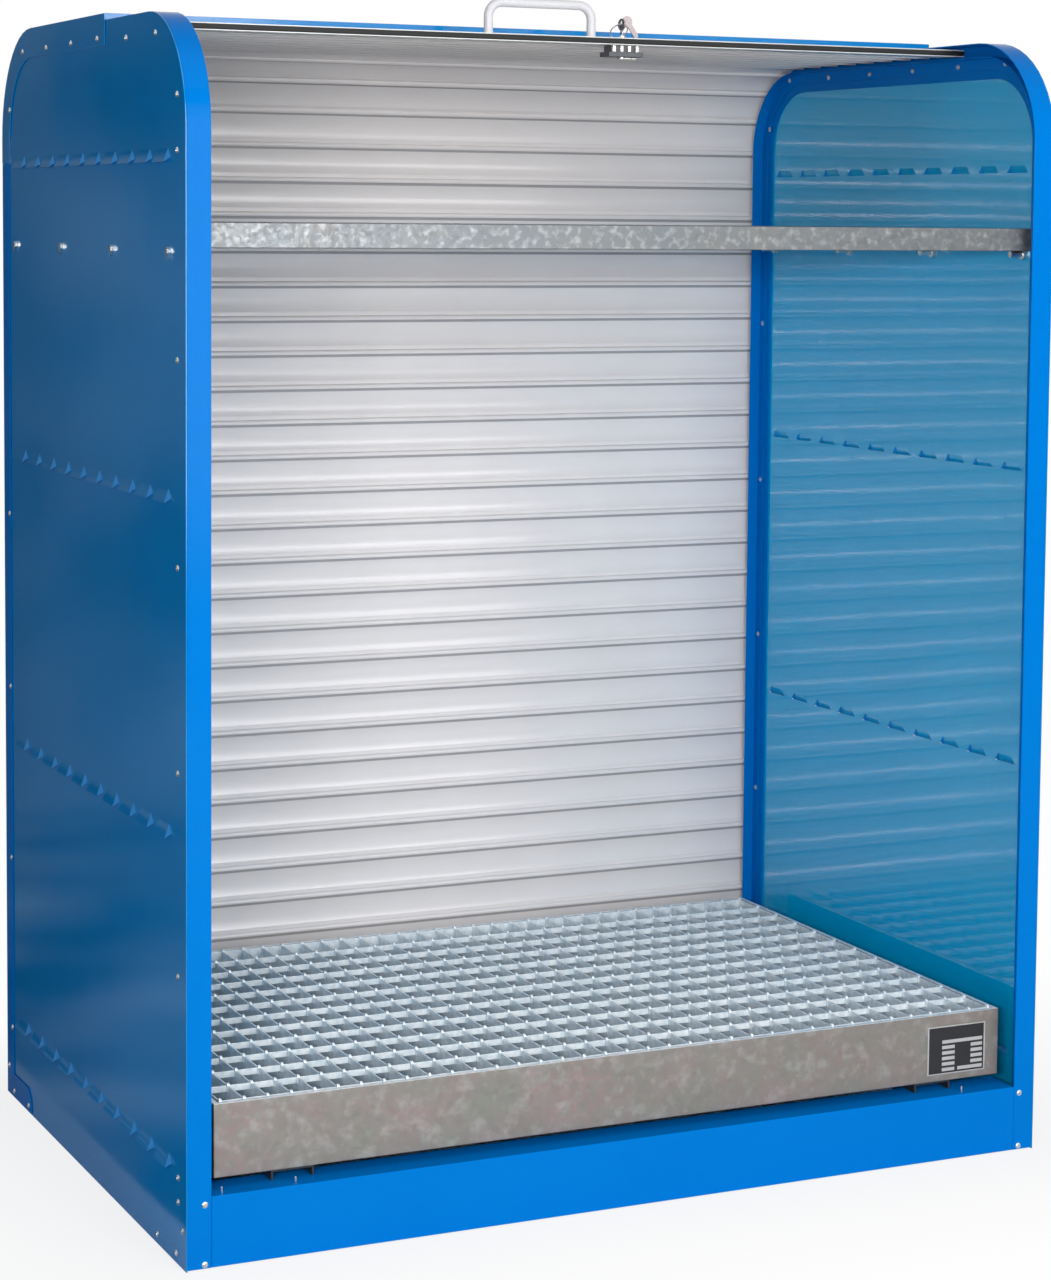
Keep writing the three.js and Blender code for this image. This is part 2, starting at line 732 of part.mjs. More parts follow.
// The curtain is a chain: each slat's bead lies in the socket of the next
const chain = new THREE.Group();
cabinet.add(chain);
const slat = slatGeometry();
const link = new THREE.Vector2(bodyDepth - pivotInset, bendHeight - backSlatCount * slatPitch);
const slatCount = backSlatCount + bendSlatCount + topSlatCount;
for (let i = 0; i < slatCount; i += 1) {
  const inBend = THREE.MathUtils.clamp(i - backSlatCount + 0.5, 0, bendSlatCount);
  const turn = Math.PI / 2 + inBend * slatAngle;
  const angle = i < backSlatCount ? Math.PI / 2 : Math.min(turn, Math.PI);
  const mesh = addPiece(chain, `slat_${String(i + 1).padStart(2, '0')}`, slat, silver, 0.35, 0.8);
  mesh.rotation.x = angle;
  mesh.position.set(0, link.x, link.y);
  link.x += slatPitch * Math.cos(angle);
  link.y += slatPitch * Math.sin(angle);
}

// The end rail and what it carries lead the curtain; its front points to -Y on top
const head = new THREE.Group();
head.position.set(0, link.x, link.y);
cabinet.add(head);
addPiece(head, 'end_rail', endRail(), silver, 0.35, 0.8);
addPiece(head, 'rail_seal', railSeal(), 0x141414, 0.7, 0.0);
addPiece(head, 'handle', handle(), silver, 0.4, 0.7);
addPiece(head, 'lock_case', lockCase(), steel, 0.35, 0.9);
addPiece(head, 'lock_plug', lockPlug(), steel, 0.3, 0.9);
addPiece(head, 'key', key(), steel, 0.3, 0.9);
addPiece(head, 'key_ring', keyRing(), steel, 0.3, 0.9);

export default cabinet;
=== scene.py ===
"""Looks of a tambour door cabinet: folded blue sheet steel, a slatted curtain, a shelf and a sump tray.

Every place and size below is in millimetres of the row frame: X to the right seen from the open
front, Y to the back, Z up, with the middle of the cabinet's base on the floor as the origin.
"""

import json
import logging
import math
from dataclasses import dataclass, field
from enum import Enum
from typing import Any, Sequence

import bmesh
import bpy
from bpy.types import Material, Mesh, MeshVertex, Node, NodeSocket, Object, World
from mathutils import Matrix, Vector


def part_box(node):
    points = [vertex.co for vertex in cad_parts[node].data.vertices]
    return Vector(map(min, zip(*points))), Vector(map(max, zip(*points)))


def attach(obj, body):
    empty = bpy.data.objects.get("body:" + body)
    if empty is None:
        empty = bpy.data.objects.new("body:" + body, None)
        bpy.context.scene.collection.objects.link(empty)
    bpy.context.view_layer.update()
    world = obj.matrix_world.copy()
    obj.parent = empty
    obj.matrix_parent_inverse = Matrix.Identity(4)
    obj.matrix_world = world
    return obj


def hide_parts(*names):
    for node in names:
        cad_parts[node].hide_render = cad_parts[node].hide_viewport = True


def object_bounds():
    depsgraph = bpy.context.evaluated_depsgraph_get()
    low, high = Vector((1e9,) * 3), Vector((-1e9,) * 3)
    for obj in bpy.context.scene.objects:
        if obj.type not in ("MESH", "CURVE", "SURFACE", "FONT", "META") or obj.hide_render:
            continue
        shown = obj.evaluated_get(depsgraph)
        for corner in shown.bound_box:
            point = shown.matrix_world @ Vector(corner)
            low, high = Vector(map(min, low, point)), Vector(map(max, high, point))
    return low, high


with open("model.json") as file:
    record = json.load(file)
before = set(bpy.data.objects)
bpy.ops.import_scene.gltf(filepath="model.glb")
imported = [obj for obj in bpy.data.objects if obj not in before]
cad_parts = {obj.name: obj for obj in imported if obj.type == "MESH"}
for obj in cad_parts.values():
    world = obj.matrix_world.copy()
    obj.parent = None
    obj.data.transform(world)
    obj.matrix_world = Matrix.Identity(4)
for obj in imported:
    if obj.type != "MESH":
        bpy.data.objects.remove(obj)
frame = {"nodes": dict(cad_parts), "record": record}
CAD_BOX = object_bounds()
MM = 0.001
# An edge counts as sharp above its crease. Corners of a CAD sheet that lie closer than the merge
# distance are one corner, and faces that meet at less than the flat angle are one face.
FORM_CREASE = 35.0
SHEET_CREASE = 30.0
MERGE_DISTANCE = 0.02
FLAT_ANGLE = 0.5
Pair = tuple[float, float]
Point = tuple[float, float, float]
Outline = list[Pair]
Faces = list[tuple[int, ...]]
log = logging.getLogger("cabinet")


class Axis(Enum):
    """The axis that a swept form is built along."""

    X = 0
    Y = 1


class Body(Enum):
    """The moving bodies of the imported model."""

    CABINET = "cabinet"
    TRAY = "tray"
    GRATING = "grating"
    TAIL = "curtain_tail"
    ENTRY = "curtain_entry"
    BEND = "curtain_bend"
    EXIT = "curtain_exit"
    HEAD = "curtain_head"
    LOCK = "lock"


@dataclass(frozen=True)
class Box:
    """The space a CAD node takes, in millimetres."""

    low: Vector
    high: Vector

    @classmethod
    def of(cls, node: str) -> "Box":
        """Reads the box of a CAD node."""
        low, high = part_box(node)
        return cls(low / MM, high / MM)

    @property
    def middle(self) -> Vector:
        """The centre of the box."""
        return (self.low + self.high) / 2


def linear(colour: str) -> tuple[float, float, float, float]:
    """Turns an sRGB hex colour into linear values.

    Args:
        colour: A colour such as "#0083E2".

    Returns:
        Red, green, blue and an alpha of one.
    """
    parts = [int(colour[i : i + 2], 16) / 255 for i in (1, 3, 5)]
    red, green, blue = [p / 12.92 if p <= 0.04045 else ((p + 0.055) / 1.055) ** 2.4 for p in parts]
    return red, green, blue, 1.0


class Canvas:
    """The node tree of a material or world, emptied so that a pattern can be drawn in it."""

    def __init__(self, owner: Material | World) -> None:
        """Turns on the owner's nodes and empties its tree."""
        owner.use_nodes = True
        self.tree = owner.node_tree
        self.tree.nodes.clear()

    def add(self, kind: str, inputs: dict[str | int, Any] | None = None, **settings: Any) -> Node:
        """Adds one node with its settings and links.

        Args:
            kind: The node's type name, without the "ShaderNode" that it begins with.
            inputs: For each input a value, or the socket or node to link. A node stands for its first output.
            **settings: The node's own properties.

        Returns:
            The new node.
        """
        node = self.tree.nodes.new(f"ShaderNode{kind}")
        for name, value in settings.items():
            setattr(node, name, value)
        for name, value in (inputs or {}).items():
            if isinstance(value, Node):
                value = value.outputs[0]
            if isinstance(value, NodeSocket):
                self.tree.links.new(value, node.inputs[name])
            else:
                node.inputs[name].default_value = value
        return node


@dataclass(frozen=True)
class Skin:
    """What a pattern gives the shader.

    The share goes from 0, the first colour, to 1, the second, and a finish of one colour has none.
    The gloss follows its own value, and the relief is a height, its depth in millimetres and the
    coarser relief under it.
    """

    share: Node | None
    gloss: Node | NodeSocket
    height: Node | NodeSocket
    depth: float
    under: Node | None = None
    colours: Sequence[Any] = ()


@dataclass(frozen=True)
class Finish:
    """A surface finish. Each kind lays its own pattern on one principled shader."""

    name: str
    colour: str
    shade: str = "#000000"
    roughness: float = 0.4
    glossier: float = 0.08
    duller: float = 0.1
    metallic: float = 0.0
    specular: float = 0.5

    def material(self) -> Material:
        """Makes the material.

        Returns:
            The material, with its pattern laid out in millimetres of the piece.
        """
        material = bpy.data.materials.new(self.name)
        draw = Canvas(material)
        spot = draw.add("TexCoord").outputs["Object"]
        to_mm = (1 / MM, 1 / MM, 1 / MM)
        place = draw.add("VectorMath", {0: spot, 1: to_mm}, operation="MULTIPLY")
        skin = self.pattern(draw, place)
        colour: Any = linear(self.colour)
        if skin.share is not None:
            first, second = skin.colours or (colour, linear(self.shade))
            mixed = draw.add("Mix", {0: skin.share, 6: first, 7: second}, data_type="RGBA")
            colour = mixed.outputs[2]
        low, high = self.roughness - self.glossier, self.roughness + self.duller
        relief = {"Height": skin.height, "Distance": skin.depth * MM}
        if skin.under is not None:
            relief["Normal"] = skin.under
        shader = draw.add("BsdfPrincipled", {
            "Base Color": colour,
            "Roughness": draw.add("MapRange", {"Value": skin.gloss, "To Min": low, "To Max": high}),
            "Normal": draw.add("Bump", relief),
            "Metallic": self.metallic,
            "Specular IOR Level": self.specular,
        })
        draw.add("OutputMaterial", {"Surface": shader})
        return material

    def pattern(self, draw: Canvas, place: Node) -> Skin:
        """Adds the pattern of the finish.

        Args:
            draw: The canvas to draw in.
            place: The place on the piece, in millimetres.

        Returns:
            What the shader takes from the pattern.
        """
        raise NotImplementedError


# Polyester powder coat baked on sheet steel. It flows out to a high gloss, so the eye sees clear
# reflections that waver with the sheet's own long waves and a fine orange peel.
@dataclass(frozen=True)
class PowderCoat(Finish):
    """Gloss powder coat on sheet steel."""

    roughness: float = 0.14
    glossier: float = 0.03
    duller: float = 0.06
    specular: float = 0.35
    cloud: float = 260.0
    peel: float = 3.0
    peel_depth: float = 0.006
    wave: float = 210.0
    wave_depth: float = 1.1
    rub: float = 60.0

    def pattern(self, draw: Canvas, place: Node) -> Skin:
        """Adds the slow drift of colour and gloss, the sheet's waves and the orange peel.

        Args:
            draw: The canvas to draw in.
            place: The place on the piece, in millimetres.

        Returns:
            What the shader takes from the pattern.
        """
        cloud = draw.add("TexNoise", {"Vector": place, "Scale": 1 / self.cloud})
        wave = draw.add("TexNoise", {"Vector": place, "Scale": 1 / self.wave, "Detail": 0.0})
        bulge = draw.add("Bump", {"Height": wave, "Distance": self.wave_depth * MM})
        peel = draw.add("TexNoise", {"Vector": place, "Scale": 1 / self.peel, "Detail": 1.0})
        rub = draw.add("TexNoise", {"Vector": place, "Scale": 1 / self.rub})
        return Skin(cloud, rub, peel, self.peel_depth, bulge)


# Hot-dip galvanised sheet. The zinc freezes in spangles a few millimetres to a few centimetres
# wide, each at its own slight tint and gloss, with paler clouds and fine smears over them.
@dataclass(frozen=True)
class SpangledZinc(Finish):
    """Hot-dip galvanised sheet steel, with a warm shade and a cool one."""

    roughness: float = 0.42
    metallic: float = 0.72
    cool: str = "#889184"
    smear: str = "#C9C9C4"
    spangle: float = 9.0
    raggedness: float = 1.6
    tint_share: float = 0.75
    tint_ramp: Pair = (0.35, 0.68)
    cloud: float = 70.0
    smear_share: float = 0.45
    smear_ramp: Pair = (0.5, 0.76)
    drip: float = 16.0
    grain: float = 2.2
    grain_depth: float = 0.02
    facet_depth: float = 0.03

    def pattern(self, draw: Canvas, place: Node) -> Skin:
        """Adds the spangles with their tints, the clouds, the smears and the grain.

        Args:
            draw: The canvas to draw in.
            place: The place on the piece, in millimetres.

        Returns:
            What the shader takes from the pattern.
        """
        shake = {"Vector": place, "Scale": self.raggedness / self.spangle}
        shaken = draw.add("TexNoise", shake).outputs["Color"]
        ragged = {0: shaken, 1: (self.spangle,) * 3, 2: place}
        moved = draw.add("VectorMath", ragged, operation="MULTIPLY_ADD")
        crystal = draw.add("TexVoronoi", {"Vector": moved, "Scale": 1 / self.spangle})
        facet = draw.add("SeparateColor", {0: crystal.outputs["Color"]})
        drift = {"Vector": place, "Scale": 1 / self.cloud, "Detail": 4.0}
        low, high = self.tint_ramp
        warmth = {"Value": draw.add("TexNoise", drift), "From Min": low, "From Max": high}
        side = draw.add("MapRange", warmth)
        tints = {0: side, 6: linear(self.shade), 7: linear(self.cool)}
        tint = draw.add("Mix", tints, data_type="RGBA")
        share = draw.add("MapRange", {"Value": facet, "To Max": self.tint_share})
        tinted = {0: share, 6: linear(self.colour), 7: tint.outputs[2]}
        sheet = draw.add("Mix", tinted, data_type="RGBA")
        drip = draw.add("TexNoise", {"Vector": place, "Scale": 1 / self.drip, "Detail": 5.0})
        low, high = self.smear_ramp
        spread = {"Value": drip, "From Min": low, "From Max": high, "To Max": self.smear_share}
        streak = draw.add("MapRange", spread)
        grain = draw.add("TexNoise", {"Vector": place, "Scale": 1 / self.grain, "Detail": 3.0})
        rough = draw.add("Bump", {"Height": grain, "Distance": self.grain_depth * MM})
        ends = (sheet.outputs[2], linear(self.smear))
        return Skin(streak, facet.outputs[1], facet.outputs[2], self.facet_depth, rough, ends)


# Pressed grating steel dipped in zinc. The bath leaves a bright, bluish, slightly lumpy skin.
@dataclass(frozen=True)
class BrightZinc(Finish):
    """Bright galvanised grating steel."""

    roughness: float = 0.36
    glossier: float = 0.0
    duller: float = 0.12
    metallic: float = 0.25
    mottle: float = 10.0
    mottle_ramp: Pair = (0.35, 0.65)
    lump: float = 5.0
    lump_depth: float = 0.12

    def pattern(self, draw: Canvas, place: Node) -> Skin:
        """Adds the mottled colour and the lumps.

        Args:
            draw: The canvas to draw in.
            place: The place on the piece, in millimetres.

        Returns:
            What the shader takes from the pattern.
        """
        mottle = draw.add("TexNoise", {"Vector": place, "Scale": 1 / self.mottle, "Detail": 3.0})
        low, high = self.mottle_ramp
        share = draw.add("MapRange", {"Value": mottle, "From Min": low, "From Max": high})
        lump = draw.add("TexNoise", {"Vector": place, "Scale": 1 / self.lump})
        return Skin(share, share, lump, self.lump_depth)


# Roll-formed aluminium, stove-lacquered in pale silver. It has a satin sheen drawn out along the
# slat, with faint lines that the rolls leave lengthwise. The real lines are about 0.2 mm apart,
# and these are drawn four times as coarse so that they show.
@dataclass(frozen=True)
class SatinAluminium(Finish):
    """Satin roll-formed aluminium."""

    roughness: float = 0.42
    glossier: float = 0.05
    duller: float = 0.08
    metallic: float = 0.1
    line: float = 0.8
    line_run: float = 480.0
    line_depth: float = 0.01
    line_share: float = 0.35
    cloud: float = 90.0

    def pattern(self, draw: Canvas, place: Node) -> Skin:
        """Adds the roll lines along X and slow clouds of tone.

        Args:
            draw: The canvas to draw in.
            place: The place on the piece, in millimetres.

        Returns:
            What the shader takes from the pattern.
        """
        drawn = {0: place, 1: (self.line / self.line_run, 1, 1)}
        along = draw.add("VectorMath", drawn, operation="MULTIPLY")
        lines = draw.add("TexNoise", {"Vector": along, "Scale": 1 / self.line})
        cloud = draw.add("TexNoise", {"Vector": place, "Scale": 1 / self.cloud, "Detail": 3.0})
        blend = {0: lines, 1: self.line_share, 2: cloud}
        share = draw.add("Math", blend, operation="MULTIPLY_ADD")
        return Skin(share, lines, lines, self.line_depth)


# Turned, stamped and plated small parts: rivets, screws, the lock and its keys. A smooth bright
# skin with hairline scuffs from handling.
@dataclass(frozen=True)
class PlatedMetal(Finish):
    """Bright nickel or zinc plate of one colour."""

    roughness: float = 0.2
    duller: float = 0.2
    metallic: float = 1.0
    scuff: float = 0.5
    scuff_run: float = 3.0
    scuff_depth: float = 0.006

    def pattern(self, draw: Canvas, place: Node) -> Skin:
        """Adds the scuffs.

        Args:
            draw: The canvas to draw in.
            place: The place on the piece, in millimetres.

        Returns:
            What the shader takes from the pattern.
        """
        drawn = {0: place, 1: (self.scuff / self.scuff_run, 1, 1)}
        along = draw.add("VectorMath", drawn, operation="MULTIPLY")
        scuffs = draw.add("TexNoise", {"Vector": along, "Scale": 1 / self.scuff, "Detail": 3.0})
        return Skin(None, scuffs, scuffs, self.scuff_depth)


# Painted, printed, oxidised or rubber surfaces with an even colour: the silver-painted handle bar, the black
# rubber seal, the plate and the lock's dark plate. The tray's runners take it too, darkened as painted shade
# so that they sink into the shadow under the tray. The eye sees a soft gloss over a fine grain.
@dataclass(frozen=True)
class EvenCoat(Finish):
    """Paint, rubber, dull steel, or a painted shade on the runners, with a fine grain."""

    grain: float = 0.6
    grain_depth: float = 0.01
    cloud: float = 25.0

    def pattern(self, draw: Canvas, place: Node) -> Skin:
        """Adds the grain and the faint clouds.

        Args:
            draw: The canvas to draw in.
            place: The place on the piece, in millimetres.

        Returns:
            What the shader takes from the pattern.
        """
        cloud = draw.add("TexNoise", {"Vector": place, "Scale": 1 / self.cloud, "Detail": 3.0})
        grain = draw.add("TexNoise", {"Vector": place, "Scale": 1 / self.grain})
        return Skin(cloud, grain, grain, self.grain_depth)


# The real cabinet has one blue powder coat. Here the panels' coat is lighter and greener than the posts'
# coat: painted light, standing in for the different light on the side-facing sheets.
FRONT_COAT = PowderCoat("blue powder coat on posts", "#0074CA", "#006FC2", specular=0.03)
PANEL_COAT = PowderCoat("blue powder coat on panels", "#0084CE", "#007DC6", 0.1)
# The inside coat is lighter and greener again, though the real sheet has the same coat on both sides: painted
# light inside the cabinet.
INSIDE_PAINTED_LIGHT_COAT = PowderCoat(
    "blue coat inside, lighter and greener as painted light",
    "#00AEE8",
    "#00A6DE",
    0.03,
    specular=0.55,
    peel_depth=0.001,
    wave_depth=0.35,
)
TRAY_ZINC = SpangledZinc("spangled galvanised sheet", "#94908C", "#A28A89", smear="#BEBEBC")
SHELF_ZINC = SpangledZinc(
    "galvanised shelf sheet", "#767B7F", "#7D7B78", cool="#6F777A", smear="#CBCCCC", spangle=6.0, drip=11.0
)
GRATING_ZINC = BrightZinc("bright galvanised grating", "#F4FAFD", "#D6E3EA", 0.28, metallic=0.2)
SLAT_SATIN = SatinAluminium("satin slat aluminium", "#EFEAE8", "#E7E2E1", 0.22, metallic=0.03)
# The necks take a darker aluminium: painted shade in the gap under each socket, where the real slats are all
# the same metal.
NECK_PAINTED_SHADE = SatinAluminium("slat aluminium darkened as painted shade in the joints", "#A6A4A6", "#9A989A", 0.5)
RAIL_SATIN = SatinAluminium("extruded rail aluminium", "#DDDEDE", "#CCCECF", 0.34, metallic=0.2)
HANDLE_PAINT = EvenCoat("silver bar paint", "#D4D4D8", "#CACACF", 0.36)
SEAL_RUBBER = EvenCoat("black seal rubber", "#070808", "#0E0F0F", 0.62, grain=0.9, grain_depth=0.03)
DARK_STEEL = EvenCoat("dark lock plate steel", "#565B5F", "#484D51")
# The runners are darkened as painted shade, so that they sink into the shadow behind the plinth's ledge.
RUNNER_PAINTED_SHADE = EvenCoat("runner steel darkened as painted shade", "#2A3036", "#20262C", 0.55)
NICKEL = PlatedMetal("nickel plate", "#CFCBC6")
KEY_METAL = PlatedMetal("worn nickel silver key", "#968C8E", roughness=0.22)
RIVET_METAL = PlatedMetal("bright rivet metal", "#DADBD8", roughness=0.26)
PLATE_BLACK = EvenCoat("printed plate black", "#1C1C20", "#242428")
PLATE_SILVER = EvenCoat("bare plate silver", "#B4B5B6", "#A6A7A9", 0.38)


def arc(centre: Pair, radius: float, start: float, end: float, steps: int) -> Outline:
    """Draws a part of a circle.

    Args:
        centre: The middle of the circle.
        radius: Its radius.
        start: The angle of the first point, in radians.
        end: The angle of the last point.
        steps: How many equal steps lie between the two.

    Returns:
        The points, the first and the last among them.
    """
    angles = [start + (end - start) * i / steps for i in range(steps + 1)]
    return [(centre[0] + radius * math.cos(a), centre[1] + radius * math.sin(a)) for a in angles]


def ring(radius: float, sides: int) -> Outline:
    """Draws a whole circle round the origin."""
    return arc((0.0, 0.0), radius, 0.0, math.tau, sides)[:-1]


def deepen(spot: Pair, axis: Axis, along: float) -> Point:
    """Makes a point of a spot across an axis.

    Args:
        spot: The coordinates in the two other axes.
        axis: The axis.
        along: The coordinate along the axis.

    Returns:
        The point.
    """
    place = list(spot)
    place.insert(axis.value, along)
    return place[0], place[1], place[2]


def wall_faces(rings: int, sides: int) -> Faces:
    """Joins rings of points, each to the next one.

    Args:
        rings: How many rings there are.
        sides: How many points each of them has.

    Returns:
        The faces between them, ring by ring.
    """
    faces: Faces = []
    for near in range(0, (rings - 1) * sides, sides):
        for i in range(sides):
            j = (i + 1) % sides
            faces.append((near + i, near + j, near + sides + j, near + sides + i))
    return faces


def closed_faces(rings: int, sides: int) -> Faces:
    """Joins rings of points, and closes the first and the last of them.

    Args:
        rings: How many rings there are.
        sides: How many points each of them has.

    Returns:
        The faces between them, then the two caps.
    """
    count = rings * sides
    caps = [tuple(reversed(range(sides))), tuple(range(count - sides, count))]
    return [*wall_faces(rings, sides), *caps]


class Forms:
    """Collects faces in millimetres and turns them into one Blender piece."""

    def __init__(self) -> None:
        """Starts with no faces."""
        self.points: list[Point] = []
        self.faces: Faces = []
        self.skins: list[int] = []

    def add(self, points: Sequence[Point], faces: Faces, skin: int = 0) -> None:
        """Adds points and the faces between them.

        Args:
            points: The corners in millimetres.
            faces: The corners of each face, by number.
            skin: Which of the piece's materials they take.
        """
        start = len(self.points)
        self.points.extend(points)
        self.faces.extend(tuple(start + i for i in face) for face in faces)
        self.skins.extend([skin] * len(faces))

    def block(self, low: Point, high: Point, skin: int = 0) -> None:
        """Adds a box.

        Args:
            low: Its lowest corner.
            high: Its highest corner.
            skin: Which of the piece's materials it takes.
        """
        xs, ys, zs = zip(low, high)
        corners = [(x, y, z) for z in zs for y in ys for x in xs]
        faces = [(0, 2, 3, 1), (4, 5, 7, 6), (0, 1, 5, 4), (2, 6, 7, 3), (0, 4, 6, 2), (1, 3, 7, 5)]
        self.add(corners, faces, skin)

    def sweep(self, outline: Outline, start: float, end: float, axis: Axis = Axis.X, skin: int = 0) -> None:
        """Sweeps a closed outline along an axis and closes its ends.

        Args:
            outline: The corners in the two other axes, in order.
            start: Where the sweep begins.
            end: Where it ends.
            axis: The axis it runs along.
            skin: Which of the piece's materials it takes.
        """
        points = [deepen(spot, axis, along) for along in (start, end) for spot in outline]
        self.add(points, closed_faces(2, len(outline)), skin)

    def turn(self, profile: Outline, centre: Point, sides: int) -> None:
        """Turns a profile round an upright axis.

        Args:
            profile: Radius and height pairs from one end to the other.
            centre: The foot of the axis.
            sides: How many sides the round has.
        """
        points: list[Point] = []
        for radius, height in profile:
            for x, y in ring(radius, sides):
                points.append((centre[0] + x, centre[1] + y, centre[2] + height))
        self.add(points, closed_faces(len(profile), sides))

    def tube(self, path: Sequence[Vector], radius: float, sides: int) -> None:
        """Runs a round bar along a path.

        Args:
            path: The bar's middle line.
            radius: The bar's radius.
            sides: How many sides the round has.
        """
        points: list[Point] = []
        normal = Vector((0, 1, 0))
        for i, place in enumerate(path):
            ahead = (path[min(i + 1, len(path) - 1)] - path[max(i - 1, 0)]).normalized()
            normal = (normal - ahead * normal.dot(ahead)).normalized()
            across = ahead.cross(normal)
            for a, b in ring(radius, sides):
                points.append(tuple(place + normal * a + across * b))
        self.add(points, closed_faces(len(path), sides))

    def piece(
        self,
        name: str,
        materials: Sequence[Material],
        body: Body,
        slot: str,
        edge: float = 0.0,
    ) -> Object:
        """Makes the piece and hangs it on its body.

        Args:
            name: The piece's name.
            materials: Its materials, in the order of the skins.
            body: The body that it moves with.
            slot: The record's material slot; it is not used.
            edge: The radius its sharp edges are rounded to, in millimetres.

        Returns:
            The new object.
        """
        mesh = bpy.data.meshes.new(name)
        mesh.from_pydata([Vector(p) * MM for p in self.points], [], self.faces)
        for polygon, skin in zip(mesh.polygons, self.skins):
            polygon.material_index = skin
        return finish_piece(name, mesh, materials, body, edge, FORM_CREASE)


def finish_piece(
    name: str,
    mesh: Mesh,
    materials: Sequence[Material],
    body: Body,
    edge: float,
    crease: float,
) -> Object:
    """Cleans a mesh, rounds its sharp edges and makes it a piece of the object.

    Args:
        name: The piece's name.
        mesh: The mesh, in metres.
        materials: The materials that its faces point to.
        body: The body that it moves with.
        edge: The radius its sharp edges are rounded to, in millimetres.
        crease: The angle above which an edge counts as sharp, in degrees.

    Returns:
        The new object.
    """
    shape = bmesh.new()
    shape.from_mesh(mesh)
    bmesh.ops.recalc_face_normals(shape, faces=shape.faces)
    for face in shape.faces:
        face.smooth = True
    for line in shape.edges:
        line.smooth = len(line.link_faces) == 2 and line.calc_face_angle(0.0) < math.radians(crease)
    shape.to_mesh(mesh)
    shape.free()
    skins = [polygon.material_index for polygon in mesh.polygons]
    mesh.materials.clear()
    for material in materials:
        mesh.materials.append(material)
    for polygon, skin in zip(mesh.polygons, skins):
        polygon.material_index = skin
    piece = bpy.data.objects.new(name, mesh)
    bpy.context.scene.collection.objects.link(piece)
    if edge:
        bevel = piece.modifiers.new("folded edges", "BEVEL")
        bevel.width = edge * MM
        bevel.segments = 2
        bevel.limit_method = "ANGLE"
        bevel.angle_limit = math.radians(crease)
        bevel.harden_normals = True
    flat = piece.modifiers.new("flat faces stay flat", "WEIGHTED_NORMAL")
    flat.keep_sharp = True
    flat.weight = 100
    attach(piece, body.value)
    log.info("%s: %d faces", name, len(mesh.polygons))
    return piece


def folded(node: str, materials: Sequence[Material], body: Body, edge: float) -> Object:
    """Remakes a CAD node of folded sheet with rounded folds, and stands in for it.

    Args:
        node: The CAD node.
        materials: The materials, the first of them for all faces.
        body: The body that it moves with.
        edge: The radius of the folds, in millimetres.

    Returns:
        The new object, with the same outline as the node.
    """
    mesh = frame["nodes"][node].data.copy()
    shape = bmesh.new()
    shape.from_mesh(mesh)
    bmesh.ops.remove_doubles(shape, verts=shape.verts, dist=MERGE_DISTANCE * MM)
    flat = math.radians(FLAT_ANGLE)
    bmesh.ops.dissolve_limit(shape, angle_limit=flat, verts=shape.verts, edges=shape.edges)
    for face in shape.faces:
        face.material_index = 0
    shape.to_mesh(mesh)
    shape.free()
    piece = finish_piece(f"{node}_sheet", mesh, materials, body, edge, SHEET_CREASE)
    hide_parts(node)
    return piece


@dataclass
class Carcass:
    """The blue sheet steel body: side panels, guides, hood, back cover, plinth and beam."""

    blue: Material
    panel: Material
    inside: Material
    bright: Material
    gap: float = 0.3
    sheet: float = 1.5
    fold: float = 0.6
    panel_fold: float = 0.35
    proud: float = 0.2
    facing: float = 0.9
    bolt_reach: float = 12.0
    bolt_rise: float = 3.0
    bolt_first: float = 66.0
    bolt_pitch: float = 242.67
    head_share: float = 0.66
    lip_reach: float = 5.0
    lip_drop: float = 3.0
    nodes: tuple[str, ...] = (
        "outer_guide_left",
        "outer_guide_right",
        "inner_guide_left",
        "inner_guide_right",
        "back_cover",
        "front_plinth",
        "rear_beam",
    )

    def build(self) -> None:
        """Makes every sheet of the carcass."""
        for node in self.nodes:
            folded(node, [self.blue], Body.CABINET, self.fold)
        # The hood takes the panels' lighter, greener coat, which is painted light.
        folded("rear_hood", [self.panel], Body.CABINET, self.fold)
        for side in ("left", "right"):
            self.side_panel(f"side_panel_{side}")

    def side_panel(self, node: str) -> None:
        """Makes a louvred side panel, its inner faces in a lighter, greener coat as painted light, with bare
        bright bolts.

        Args:
            node: The CAD node of the panel.
        """
        coats = [self.panel, self.inside, self.bright]
        panel = folded(node, coats, Body.CABINET, self.panel_fold)
        bolt_height = Box.of("shelf").low.z
        inner_face = abs(Box.of("outer_guide_left").low.x) - self.gap
        outer_face = inner_face + self.sheet
        heads = []
        for vertex in panel.data.vertices:
            reach = abs(vertex.co.x) / MM - outer_face
            if reach > self.proud and abs(vertex.co.z / MM - bolt_height) < self.bolt_reach:
                heads.append(vertex)
            elif reach > self.lip_reach:
                vertex.co.z -= self.lip_drop * MM
        self.trim_heads(heads, Box.of(node).low.y)
        for polygon in panel.data.polygons:
            spot = Vector(polygon.center) / MM
            at_bolts = -self.bolt_reach < spot.z - bolt_height < self.bolt_rise
            off_sheet = abs(spot.x) < inner_face - self.proud or abs(spot.x) > outer_face + self.proud
            if at_bolts and off_sheet:
                polygon.material_index = coats.index(self.bright)
            # Inner faces take the lighter, greener inside coat, which is painted light.
            elif polygon.normal.x * spot.x < 0 and abs(polygon.normal.x) > self.facing:
                polygon.material_index = coats.index(self.inside)

    def trim_heads(self, heads: Sequence[MeshVertex], front: float) -> None:
        """Draws the shelf bolts' heads in to their true size.

        Args:
            heads: The corners of the heads on one panel.
            front: The panel's front edge, in millimetres.
        """
        low = min(vertex.co.z for vertex in heads)
        high = max(vertex.co.z for vertex in heads)
        middle = (low + high) / 2
        first = (front + self.bolt_first) * MM
        for vertex in heads:
            number = round((vertex.co.y - first) / (self.bolt_pitch * MM))
            centre = first + number * self.bolt_pitch * MM
            vertex.co.y = centre + (vertex.co.y - centre) * self.head_share
            vertex.co.z = middle + (vertex.co.z - middle) * self.head_share


